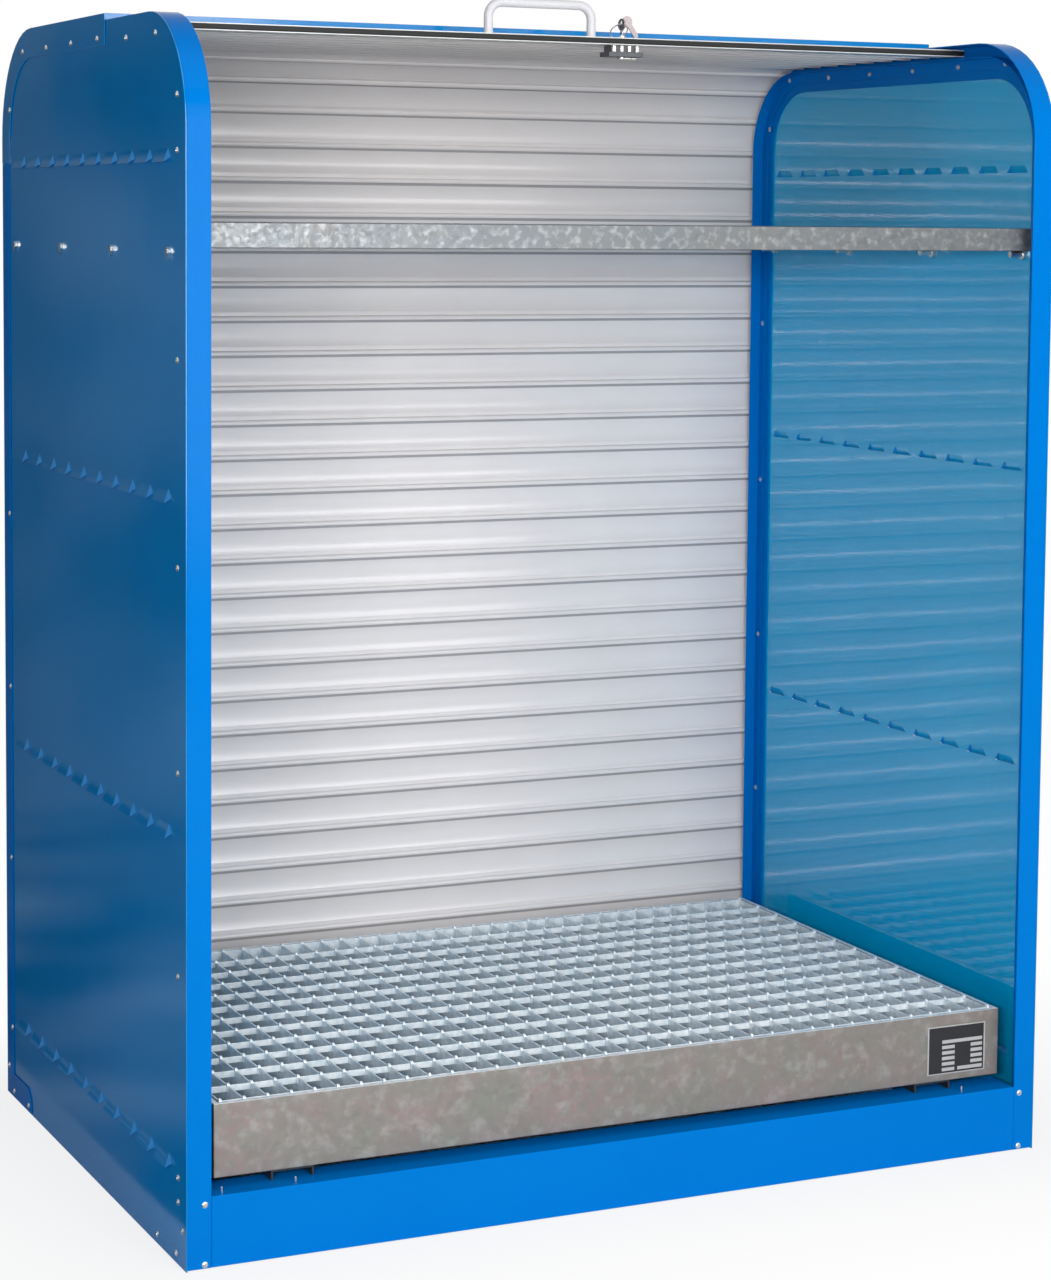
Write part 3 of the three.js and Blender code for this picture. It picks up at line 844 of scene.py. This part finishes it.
@dataclass
class Fasteners:
    """Blind rivets along the panels, hood and guides, and the screws on the posts.

    The insets are measured from the edge of the guides that a row follows. In the pairs of a face,
    the first number is the distance from its front or back edge and the second is the height.
    """

    metal: Material
    radius: float = 4.4
    rise: float = 1.7
    sides: int = 14
    head: tuple[Pair, ...] = ((1.0, 0.0), (1.0, 0.25), (0.86, 0.7), (0.55, 1.0), (0.34, 1.0), (0.26, 0.55))
    sheet: float = 1.8
    inner_sheet: float = 1.5
    top_first: float = 121.0
    top_pitch: float = 126.0
    top_count: int = 6
    side_first: float = 115.0
    side_pitch: float = 264.2
    side_count: int = 6
    panel_inset: float = 33.0
    panel_top_inset: float = 29.0
    below_first: float = 32.0
    above_last: float = 70.0
    panel_corners: tuple[Pair, ...] = ((15.0, 50.0), (41.0, 13.0), (120.0, 13.0))
    hood_inset: float = 24.0
    hood_drop: float = 5.0
    hood_corners: tuple[Pair, ...] = ((36.0, 1509.0), (5.0, 46.0), (32.0, 12.0), (114.0, 12.0))
    inner_inset: float = 30.0
    inner_rise: float = 10.0
    inner_corner: Pair = (45.0, 1507.0)
    post_inset: float = 25.0
    post_heights: tuple[float, ...] = (7.0, 86.0)
    spots: Forms = field(default_factory=Forms)

    def dome(self, centre: Vector, outward: Vector) -> None:
        """Adds one rivet head with its drawn-in middle.

        Args:
            centre: The middle of the head's foot.
            outward: The direction the head faces.
        """
        turn = outward.to_track_quat("Z", "Y").to_matrix()
        points: list[Point] = []
        for share, height in self.head:
            for a, b in ring(share * self.radius, self.sides):
                points.append(tuple(centre + turn @ Vector((a, b, height * self.rise))))
        last = len(points) - self.sides
        middle = tuple(range(last, last + self.sides))
        self.spots.add(points, [*wall_faces(len(self.head), self.sides), middle])

    def build(self) -> None:
        """Places every rivet and screw and makes them one piece."""
        guide = Box.of("outer_guide_left")
        front, back, top = guide.low.y, guide.high.y, guide.high.z
        panel_face = abs(guide.low.x) + self.sheet
        hood_face = panel_face + self.sheet
        inner_face = abs(Box.of("inner_guide_left").low.x) - self.inner_sheet
        hood_front = Box.of("rear_hood").low.y
        places = [front + self.top_first + self.top_pitch * i for i in range(self.top_count)]
        heights = [self.side_first + self.side_pitch * i for i in range(self.side_count)]
        post = [heights[0] - self.below_first, *heights, heights[-1] + self.above_last]
        panel = [(y, top - self.panel_top_inset) for y in places if y <= hood_front]
        panel += [(front + self.panel_inset, z) for z in post]
        panel += [(front + y, z) for y, z in self.panel_corners]
        hood = [(y, top - self.hood_inset) for y in places if y > hood_front]
        hood += [(back - self.hood_inset, z - self.hood_drop) for z in heights[:4]]
        hood += [(back - y, z) for y, z in self.hood_corners]
        inner = [(y, top - self.inner_inset) for y in places]
        inner += [(back - self.inner_inset, z + self.inner_rise) for z in heights[1:5]]
        inner += [(back - self.inner_corner[0], self.inner_corner[1])]
        rows = ((panel_face, panel, 1), (hood_face, hood, 1), (inner_face, inner, -1))
        for side in (-1, 1):
            for face, spots, facing in rows:
                for y, z in spots:
                    self.dome(Vector((side * face, y, z)), Vector((side * facing, 0, 0)))
            for z in self.post_heights:
                self.dome(Vector((side * (panel_face - self.post_inset), front, z)), Vector((0, -1, 0)))
        self.spots.piece("rivets", [self.metal], Body.CABINET, "lock_chrome")


@dataclass
class Base:
    """The runners under the tray and the pins on the plinth's ledge."""

    steel: Material
    bright: Material
    runner_fold: float = 0.4
    pin_shares: tuple[float, ...] = (0.03, 0.11, 0.92)
    pin_inset: float = 14.0
    pin_radius: float = 1.6
    pin_height: float = 6.0
    pin_tip: Pair = (0.4, 1.0)
    pin_sides: int = 10

    def build(self) -> None:
        """Makes the runners and pins."""
        for side in ("left", "right"):
            # The runners take the darkened steel, a painted shade.
            folded(f"tray_runner_{side}", [self.steel], Body.CABINET, self.runner_fold)
        plinth = Box.of("front_plinth")
        radius, height = self.pin_radius, self.pin_height
        profile = [(radius, 0.0), (radius, height), (self.pin_tip[0], height + self.pin_tip[1])]
        pins = Forms()
        for share in self.pin_shares:
            x = plinth.low.x + (plinth.high.x - plinth.low.x) * share
            pins.turn(profile, (x, plinth.low.y + self.pin_inset, plinth.high.z), self.pin_sides)
        pins.piece("ledge_pins", [self.bright], Body.CABINET, "lock_chrome")


@dataclass
class Shelf:
    """The galvanised shelf with its flanges folded down."""

    zinc: Material
    fold: float = 0.8

    def build(self) -> None:
        """Makes the shelf."""
        folded("shelf", [self.zinc], Body.CABINET, self.fold)


@dataclass
class SumpTray:
    """The sump tray with its folded rim, its ribs and the blank plate.

    The plate's fields are rows of bars from the bottom up, each bar from one share of the plate's
    width to another. The row's place and height are shares of the plate's height.
    """

    zinc: Material
    # The rim's material is the brighter grating zinc, a painted highlight on the folded rim.
    rim: Material
    plate_dark: Material
    plate_pale: Material
    fold: float = 0.9
    rib_fold: float = 0.3
    facing: float = 0.9
    plate_width: float = 98.0
    plate_height: float = 71.0
    plate_from_right: float = 121.0
    plate_rise: float = 10.0
    plate_border: float = 2.2
    plate_edge: float = 0.1
    sunk: float = 0.2
    layers: tuple[float, ...] = (0.7, 0.8, 0.9)
    row_first: float = 0.06
    row_pitch: float = 0.115
    row_height: float = 0.07
    rows: tuple[tuple[Pair, ...], ...] = (
        ((0.25, 0.47), (0.52, 0.95)),
        *[((0.25, 0.47), (0.75, 0.95))] * 4,
        ((0.25, 0.95),),
    )

    def build(self) -> None:
        """Makes the tray and what is on it."""
        tray = folded("sump_tray", [self.zinc, self.rim], Body.TRAY, self.fold)
        top = Box.of("sump_tray").high.z * MM
        # Up-facing faces at the top of the rim take the brighter zinc: a painted highlight along the folded
        # rim.
        for polygon in tray.data.polygons:
            if polygon.normal.z > self.facing and polygon.center.z > top - MM:
                polygon.material_index = 1
        for rib in ("sump_rib_1", "sump_rib_2"):
            folded(rib, [self.zinc], Body.TRAY, self.rib_fold)
        self.plate()

    def plate(self) -> None:
        """Makes the blank plate: a dark sheet with a pale border and empty fields."""
        tray = Box.of("sump_tray")
        left, face, foot = tray.high.x - self.plate_from_right, tray.low.y, tray.low.z + self.plate_rise
        border, sheet, print_layer = self.layers
        rim = self.plate_border / self.plate_width
        bars = [(0.0, 1.0, 0.0, 1.0, border, 1), (rim, 1 - rim, rim, 1 - rim, sheet, 0)]
        for row, spans in enumerate(self.rows):
            low = self.row_first + self.row_pitch * row
            bars += [(start, end, low, low + self.row_height, print_layer, 1) for start, end in spans]
        plate = Forms()
        for start, end, low, high, proud, skin in bars:
            plate.block(
                (left + self.plate_width * start, face - proud, foot + self.plate_height * low),
                (left + self.plate_width * end, face + self.sunk, foot + self.plate_height * high),
                skin,
            )
        paints = [self.plate_dark, self.plate_pale]
        plate.piece("blank_plate", paints, Body.TRAY, "lock_chrome", self.plate_edge)


@dataclass
class Grating:
    """The lift-out grating: deep bars front to back, cross bars, and a lug at every crossing."""

    zinc: Material
    columns: int = 36
    rows: int = 12
    bar: float = 2.2
    cross_bar: float = 2.2
    cross_depth: float = 8.5
    edge: float = 0.35
    lug_rise: float = 3.4
    lug_depth: float = 7.0
    lug_swell: float = 0.9
    lug_steps: int = 6

    def build(self) -> None:
        """Makes the whole grating as one piece."""
        space = Box.of("grating")
        low, high = space.low, space.high
        step_x = (high.x - low.x - self.bar) / self.columns
        step_y = (high.y - low.y - self.cross_bar) / self.rows
        lefts = [low.x + step_x * i for i in range(self.columns + 1)]
        fronts = [low.y + step_y * j for j in range(self.rows + 1)]
        steel = Forms()
        for x in lefts:
            steel.block((x, low.y, low.z), (x + self.bar, high.y, high.z))
        for y in fronts:
            bottom = low.z if y in (fronts[0], fronts[-1]) else high.z - self.cross_depth
            steel.block((low.x, y, bottom), (high.x, y + self.cross_bar, high.z))
        for x in lefts:
            for y in fronts:
                self.lug(steel, x, y, high.z)
        grating = steel.piece("grating_bars", [self.zinc], Body.GRATING, "grating_zinc", self.edge)
        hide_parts("grating")

    def lug(self, steel: Forms, x: float, y: float, top: float) -> None:
        """Adds the upright round-topped lug that locks a cross bar in its bar.

        Args:
            steel: The form to add to.
            x: The left side of the bar.
            y: The front of the cross bar.
            top: The top of the bars.
        """
        half = self.lug_depth / 2
        middle = y + self.cross_bar / 2
        outline = [(middle - half, top - self.cross_depth), (middle + half, top - self.cross_depth)]
        outline += arc((middle, top + self.lug_rise - half), half, 0.0, math.pi, self.lug_steps)
        steel.sweep(outline, x - self.lug_swell, x + self.bar + self.lug_swell)


@dataclass
class Curtain:
    """The tambour curtain: slats of one rolled profile, each bead held in the next slat's socket."""

    aluminium: Material
    joint: Material
    socket: float = 4.4
    wall: float = 1.2
    bead: float = 2.5
    land: float = 6.0
    groove: float = 0.9
    crown: float = 3.4
    lip: float = 28.0
    neck: float = 1.4
    neck_root: float = 1.0
    neck_clearance: float = 1.6
    turn_step: float = 22.5
    round_steps: int = 14

    def profile(self, pitch: float) -> list[tuple[Outline, int]]:
        """Draws the slat's outlines, with u along the curtain and v out of the cabinet.

        Args:
            pitch: The distance from the middle of the socket to the middle of the bead.

        Returns:
            Closed outlines of the socket, land, crown, neck and bead, each with its skin.
        """
        start = math.pi - math.radians(self.lip)
        end = math.radians(self.turn_step + self.lip) - math.pi
        socket = arc((0.0, 0.0), self.socket, start, end, self.round_steps * 2)
        socket += arc((0.0, 0.0), self.socket - self.wall, end, start, self.round_steps * 2)
        half_wall = self.wall / 2
        first = self.socket + self.land
        last = pitch - self.socket - self.neck_clearance
        bottom, near, far = self.groove - half_wall, self.socket + self.groove, first - self.groove
        low, high = self.socket - half_wall, first + half_wall
        land = [(low, bottom), (near, bottom), (near, -half_wall), (far, -half_wall)]
        land += [(far, bottom), (high, bottom), (high, half_wall), (low, half_wall)]
        half = (last - first) / 2
        radius = (half * half + self.crown * self.crown) / (2 * self.crown)
        spread = math.asin(half / radius)
        centre = ((first + last) / 2, self.crown - radius)
        rise, fall = math.pi / 2 + spread, math.pi / 2 - spread
        crown = arc(centre, radius + half_wall, rise, fall, self.round_steps)
        crown += arc(centre, radius - half_wall, fall, rise, self.round_steps)
        root, half_neck = last - self.neck_root, self.neck / 2
        neck = [(root, -half_neck), (pitch, -half_neck), (pitch, half_neck), (root, half_neck)]
        bead = [(pitch + u, v) for u, v in ring(self.bead, self.round_steps)]
        # The neck takes skin 1, the darker aluminium that paints the shade in the gap under each socket.
        return [(socket, 0), (land, 0), (crown, 0), (neck, 1), (bead, 0)]

    def build(self) -> None:
        """Makes every slat at the place and angle of its CAD node."""
        bodies = frame["record"]["behaviour"]["bodies"]
        owners = {node: name for name, nodes in bodies.items() for node in nodes}
        slats = sorted(node for node in frame["nodes"] if node.startswith("slat_"))
        first = Box.of(slats[0])
        pitch = Box.of(slats[1]).low.z - first.low.z
        pivot = Vector((0, first.low.y + self.socket, first.low.z + self.socket))
        outlines = self.profile(pitch)
        tail = sum(owners[node] == Body.TAIL.value for node in slats) + 1
        for number, node in enumerate(slats, start=1):
            steps = max(number - tail - 0.5, 0.0)
            turned = math.radians(min(90.0 + steps * self.turn_step, 180.0))
            along = Vector((0, math.cos(turned), math.sin(turned)))
            outward = Vector((0, math.sin(turned), -math.cos(turned)))
            slat = Forms()
            for outline, skin in outlines:
                places = [pivot + along * u + outward * v for u, v in outline]
                slat.sweep([(p.y, p.z) for p in places], first.low.x, first.high.x, skin=skin)
            metals = [self.aluminium, self.joint]
            name = f"slat_profile_{number:02d}"
            piece = slat.piece(name, metals, Body(owners[node]), "slat_aluminium")
            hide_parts(node)
            pivot = pivot + along * pitch


@dataclass
class EndRail:
    """The extruded end rail with its rubber seal, and the bow handle on it."""

    aluminium: Material
    rubber: Material
    paint: Material
    rail_edge: float = 0.35
    seal_edge: float = 0.8
    straight: float = 10.0
    bend: float = 20.0
    bend_steps: int = 10
    bar_sides: int = 24

    def build(self) -> None:
        """Makes the rail, the seal and the handle."""
        folded("end_rail", [self.aluminium], Body.HEAD, self.rail_edge)
        folded("rail_seal", [self.rubber], Body.HEAD, self.seal_edge)
        self.handle()

    def handle(self) -> None:
        """Makes the bow handle from a bar bent at two corners."""
        space = Box.of("handle")
        radius = (space.high.y - space.low.y) / 2
        left, right = space.low.x + radius, space.high.x - radius
        foot, turn = space.low.z, space.high.z - radius - self.bend
        path = [(left, foot), (left, foot + self.straight)]
        path += arc((left + self.bend, turn), self.bend, math.pi, math.pi / 2, self.bend_steps)
        path += arc((right - self.bend, turn), self.bend, math.pi / 2, 0.0, self.bend_steps)
        path += [(right, foot + self.straight), (right, foot)]
        bar = Forms()
        bar.tube([Vector((x, space.middle.y, z)) for x, z in path], radius, self.bar_sides)
        piece = bar.piece("handle_bar", [self.paint], Body.HEAD, "handle_metal")
        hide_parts("handle")


@dataclass
class Lock:
    """The cylinder lock through the rail, its latch case below, and two keys on a ring."""

    nickel: Material
    dark: Material
    key_metal: Material
    gap: float = 0.3
    plug_edge: float = 0.25
    key_edge: float = 0.3
    case_edge: float = 0.4
    plate_share: float = 0.42
    neck_inset: float = 0.12
    neck_back: float = 5.0
    latch_front: float = 1.0
    latch_back: float = 6.0
    latch_width: float = 5.0
    latch_count: int = 4
    barrel_radius: float = 8.0
    barrel_chamfer: float = 0.8
    barrel_sides: int = 28
    key_length: float = 25.0
    key_width: float = 7.5
    bow_radius: float = 8.0
    bow_share: float = 0.4
    key_thickness: float = 1.8
    key_lean: float = 36.0
    key_clearance: float = 1.0
    bow_steps: int = 18

    def build(self) -> None:
        """Makes the lock's pieces."""
        self.case()
        folded("lock_plug", [self.nickel], Body.LOCK, self.plug_edge)
        folded("key", [self.key_metal], Body.LOCK, self.key_edge)
        folded("key_ring", [self.nickel], Body.LOCK, 0.0)
        self.spare_key()

    def case(self) -> None:
        """Makes the latch case: a dark plate below, and bright latches and the barrel above it."""
        space, plug, centre = Box.of("lock_case"), Box.of("lock_plug"), Box.of("key").middle
        low, high = space.low, space.high
        top = Box.of("end_rail").low.z - self.gap
        split = low.z + (top - low.z) * self.plate_share
        inset = (high.x - low.x) * self.neck_inset
        room = high.x - low.x - 2 * inset - self.latch_width
        case = Forms()
        case.block(low, (high.x, high.y, split), 1)
        case.block((low.x + inset, low.y + self.neck_back, split), (high.x - inset, high.y, top), 1)
        for i in range(self.latch_count):
            x = low.x + inset + room * i / (self.latch_count - 1)
            corner = (x + self.latch_width, low.y + self.latch_back, top)
            case.block((x, low.y + self.latch_front, split), corner)
        barrel = min(plug.high.y - plug.middle.y, self.barrel_radius)
        shoulder = high.z - self.barrel_chamfer
        profile = [(barrel, top), (barrel, shoulder), (barrel - self.barrel_chamfer, high.z)]
        case.turn(profile, (centre.x, centre.y, 0.0), self.barrel_sides)
        metals = [self.nickel, self.dark]
        piece = case.piece("lock_latch_case", metals, Body.HEAD, "lock_chrome", self.case_edge)
        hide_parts("lock_case")

    def spare_key(self) -> None:
        """Makes the second key, which hangs from the ring and leans on the rail."""
        ring_space = Box.of("key_ring")
        half, tip, bow = self.key_width / 2, self.key_length + self.key_width / 2, self.bow_radius
        outline = [(half, -bow), (half, -self.key_length), (0.0, -tip)]
        outline += [(-half, -self.key_length), (-half, -bow)]
        start = math.asin(half / bow)
        outline += arc((0.0, 0.0), bow, 1.5 * math.pi - start, start - math.pi / 2, self.bow_steps)
        drop = bow * self.bow_share
        turn = math.radians(self.key_lean)
        rest = max(Box.of("end_rail").high.z, Box.of("rail_seal").high.z) + self.key_clearance
        x0 = ring_space.high.x - self.key_clearance
        z0 = max(ring_space.high.z - drop, rest + tip * math.cos(turn) + drop) - drop
        places: Outline = []
        for a, b in outline:
            x = x0 + a * math.cos(turn) - b * math.sin(turn)
            places.append((x, z0 + a * math.sin(turn) + b * math.cos(turn)))
        back = ring_space.middle.y + self.key_thickness / 2
        key = Forms()
        key.sweep(places, back - self.key_thickness, back, Axis.Y)
        key.piece("spare_key", [self.key_metal], Body.LOCK, "lock_chrome", self.key_edge)


@dataclass(frozen=True)
class Lamp:
    """A soft rectangular lamp, with its power in watts."""

    name: str
    place: Point
    width: float
    height: float
    power: float
    aim: Point = (0.0, 200.0, 850.0)

    def hang(self) -> None:
        """Hangs the lamp and turns it to its aim."""
        data = bpy.data.lights.new(self.name, "AREA")
        data.shape = "RECTANGLE"
        data.size = self.width * MM
        data.size_y = self.height * MM
        data.energy = self.power
        lamp = bpy.data.objects.new(self.name, data)
        lamp.location = Vector(self.place) * MM
        ahead = Vector(self.aim) - Vector(self.place)
        lamp.rotation_euler = ahead.to_track_quat("-Z", "Y").to_euler()
        bpy.context.scene.collection.objects.link(lamp)


@dataclass
class Studio:
    """The pale floor, the soft lamps, the white surroundings, the dark flags and the camera.

    A flag is a name, a corner, and the way from it along the flag and up the flag.
    """

    camera_place: Point = (-1828.978, -3991.794, 1353.187)
    yaw: float = 24.877
    tilt: float = 4.647
    roll: float = -0.486
    focal_pixels: float = 2972.871
    image_height: float = 1280.0
    sensor: float = 36.0
    shift: float = -0.1398
    view_depth: float = 100.0
    floor_size: float = 30000.0
    floor_glow: float = 0.82
    shadow_ramp: Pair = (0.97, 0.99)
    halo_shadow_glow: float = 0.16
    halo_shadow_ramp: Pair = (1.0, 1.9)
    floor_tone: str = "#F6F6F6"
    floor_speck: str = "#FAFAFA"
    speck_scale: float = 1.6
    white: str = "#FFFFFF"
    sky_strength: float = 0.16
    flag_tone: str = "#14161A"
    flag_cloud: str = "#868E95"
    flag_ramp: Pair = (0.4, 0.7)
    flag_scale: float = 2.0
    lamps: tuple[Lamp, ...] = (
        Lamp("key lamp", (-1780.0, -4150.0, 1500.0), 350.0, 350.0, 10.0),
        Lamp("fill lamp", (300.0, -4400.0, 1300.0), 1600.0, 1600.0, 64.0),
        Lamp("sheen lamp", (1400.0, -4300.0, 2500.0), 2800.0, 1200.0, 52.0),
        Lamp("side lamp", (-2600.0, -4150.0, 1500.0), 1100.0, 320.0, 72.0),
        Lamp("top lamp", (0.0, -1600.0, 3600.0), 2600.0, 2000.0, 18.0, (0.0, 0.0, 200.0)),
    )
    flags: tuple[tuple[str, Point, Point, Point], ...] = (
        ("left flag", (-4200.0, 2600.0, 0.0), (3500.0, 0.0, 0.0), (0.0, 0.0, 3000.0)),
        ("left floor flag", (-4200.0, -600.0, 2.0), (3500.0, 0.0, 0.0), (0.0, 3200.0, 0.0)),
        ("front flag", (-7000.0, -6000.0, 0.0), (14000.0, 0.0, 0.0), (0.0, 0.0, 6000.0)),
    )

    def build(self) -> None:
        """Makes the whole studio."""
        self.camera()
        self.floor()
        self.sky()
        for lamp in self.lamps:
            lamp.hang()
        self.put_up_flags()

    def camera(self) -> None:
        """Puts the camera at the viewing angle of the photograph."""
        yaw, tilt, roll = (math.radians(a) for a in (self.yaw, self.tilt, self.roll))
        ahead = Vector((math.sin(yaw) * math.cos(tilt), math.cos(yaw) * math.cos(tilt), -math.sin(tilt)))
        right = Vector((math.cos(yaw), -math.sin(yaw), 0))
        down = ahead.cross(right)
        across = right * math.cos(roll) + down * math.sin(roll)
        lower = down * math.cos(roll) - right * math.sin(roll)
        data = bpy.data.cameras.new("camera")
        data.sensor_width = self.sensor
        data.lens = self.focal_pixels * self.sensor / self.image_height
        data.shift_y = self.shift
        data.clip_end = self.view_depth
        camera = bpy.data.objects.new("camera", data)
        turned = Matrix((across, -lower, -ahead)).transposed().to_4x4()
        camera.matrix_world = Matrix.Translation(Vector(self.camera_place) * MM) @ turned
        bpy.context.scene.collection.objects.link(camera)
        bpy.context.scene.camera = camera

    def sheet(
        self, name: str, corner: Point, along: Point, up: Point, material: Material
    ) -> Object:
        """Makes a flat four-cornered sheet of the studio.

        Args:
            name: The sheet's name.
            corner: One corner.
            along: From that corner to the next one.
            up: From that corner to the one on its other side.
            material: Its material.

        Returns:
            The sheet, staged.
        """
        low, side, rise = Vector(corner) * MM, Vector(along) * MM, Vector(up) * MM
        mesh = bpy.data.meshes.new(name)
        mesh.from_pydata([low, low + side, low + side + rise, low + rise], [], [(0, 1, 2, 3)])
        mesh.materials.append(material)
        sheet = bpy.data.objects.new(name, mesh)
        bpy.context.scene.collection.objects.link(sheet)
        return sheet

    def put_up_flags(self) -> None:
        """Puts up dark cloth flags that only reflections see, so that the gloss coat looks deep."""
        material = bpy.data.materials.new("flag cloth")
        draw = Canvas(material)
        place = draw.add("TexCoord").outputs["Object"]
        cloud = draw.add("TexNoise", {"Vector": place, "Scale": self.flag_scale, "Detail": 1.0})
        low, high = self.flag_ramp
        share = draw.add("MapRange", {"Value": cloud, "From Min": low, "From Max": high})
        tones = {0: share, 6: linear(self.flag_tone), 7: linear(self.flag_cloud)}
        tone = draw.add("Mix", tones, data_type="RGBA")
        cloth = draw.add("Emission", {"Color": tone.outputs[2]})
        draw.add("OutputMaterial", {"Surface": cloth})
        for name, corner, along, up in self.flags:
            flag = self.sheet(name, corner, along, up, material)
            flag.visible_camera = False
            flag.visible_diffuse = False
            flag.visible_shadow = False
            flag.visible_transmission = False

    def floor(self) -> None:
        """Lays the pale floor. It glows for the camera outside the cabinet's footprint so that it stays
        white, and the glow grows weaker towards the cabinet: a painted soft shadow round it.
        """
        material = bpy.data.materials.new("pale floor")
        draw = Canvas(material)
        place = draw.add("TexCoord").outputs["Object"]
        foot = CAD_BOX[1]
        spread = {0: place, 1: (1 / foot[0], 1 / foot[1], 0.0)}
        shares = draw.add("VectorMath", spread, operation="MULTIPLY")
        sides = draw.add("VectorMath", {0: shares}, operation="ABSOLUTE")
        parts = draw.add("SeparateXYZ", {0: sides})
        pair = {0: parts.outputs[0], 1: parts.outputs[1]}
        reach = draw.add("Math", pair, operation="MAXIMUM")
        # The first ramp cuts the glow under the cabinet, so that only the real shade shows there. The second
        # raises it from the cabinet's edge out to 1.9 times its half-size, which paints a soft shadow round
        # the cabinet.
        glows = []
        for (start, end), strength in ((self.shadow_ramp, self.floor_glow), (self.halo_shadow_ramp, self.halo_shadow_glow)):
            ramp = {"Value": reach, "From Min": start, "From Max": end, "To Max": strength}
            glows.append(draw.add("MapRange", ramp))
        whole = draw.add("Math", {0: glows[0], 1: glows[1]}, operation="ADD")
        seen = {0: draw.add("LightPath").outputs["Is Camera Ray"], 1: whole}
        share = draw.add("Math", seen, operation="MULTIPLY")
        speck = draw.add("TexNoise", {"Vector": place, "Scale": self.speck_scale, "Detail": 3.0})
        tones = {0: speck, 6: linear(self.floor_tone), 7: linear(self.floor_speck)}
        tone = draw.add("Mix", tones, data_type="RGBA")
        matt = draw.add("BsdfDiffuse", {"Color": tone.outputs[2]})
        light = draw.add("Emission", {"Color": linear(self.white)})
        mixed = draw.add("MixShader", {0: share, 1: matt, 2: light})
        draw.add("OutputMaterial", {"Surface": mixed})
        size = self.floor_size
        self.sheet("floor", (-size / 2, -size / 2, 0.0), (size, 0.0, 0.0), (0.0, size, 0.0), material)

    def sky(self) -> None:
        """Surrounds the scene with soft light that looks white to the camera, reflections and glass."""
        world = bpy.data.worlds.new("studio")
        bpy.context.scene.world = world
        draw = Canvas(world)
        path = draw.add("LightPath")
        pair = {0: path.outputs["Is Camera Ray"], 1: path.outputs["Is Glossy Ray"]}
        either = draw.add("Math", pair, operation="MAXIMUM")
        three = {0: either, 1: path.outputs["Is Transmission Ray"]}
        seen = draw.add("Math", three, operation="MAXIMUM")
        dim = {"Color": linear(self.white), "Strength": self.sky_strength}
        soft = draw.add("Background", dim)
        white = draw.add("Background", {"Color": linear(self.white)})
        mixed = draw.add("MixShader", {0: seen, 1: soft, 2: white})
        draw.add("OutputWorld", {"Surface": mixed})


def main() -> None:
    """Builds the studio, then the object part by part."""
    logging.basicConfig(level=logging.INFO, format="%(message)s")
    bpy.context.scene.view_settings.view_transform = "Standard"
    Studio().build()
    rivet = RIVET_METAL.material()
    grating_zinc = GRATING_ZINC.material()
    Carcass(FRONT_COAT.material(), PANEL_COAT.material(), INSIDE_PAINTED_LIGHT_COAT.material(), rivet).build()
    Fasteners(rivet).build()
    Base(RUNNER_PAINTED_SHADE.material(), rivet).build()
    Shelf(SHELF_ZINC.material()).build()
    SumpTray(TRAY_ZINC.material(), grating_zinc, PLATE_BLACK.material(), PLATE_SILVER.material()).build()
    Grating(grating_zinc).build()
    Curtain(SLAT_SATIN.material(), NECK_PAINTED_SHADE.material()).build()
    EndRail(RAIL_SATIN.material(), SEAL_RUBBER.material(), HANDLE_PAINT.material()).build()
    Lock(NICKEL.material(), DARK_STEEL.material(), KEY_METAL.material()).build()


if __name__ == "__main__":
    main()
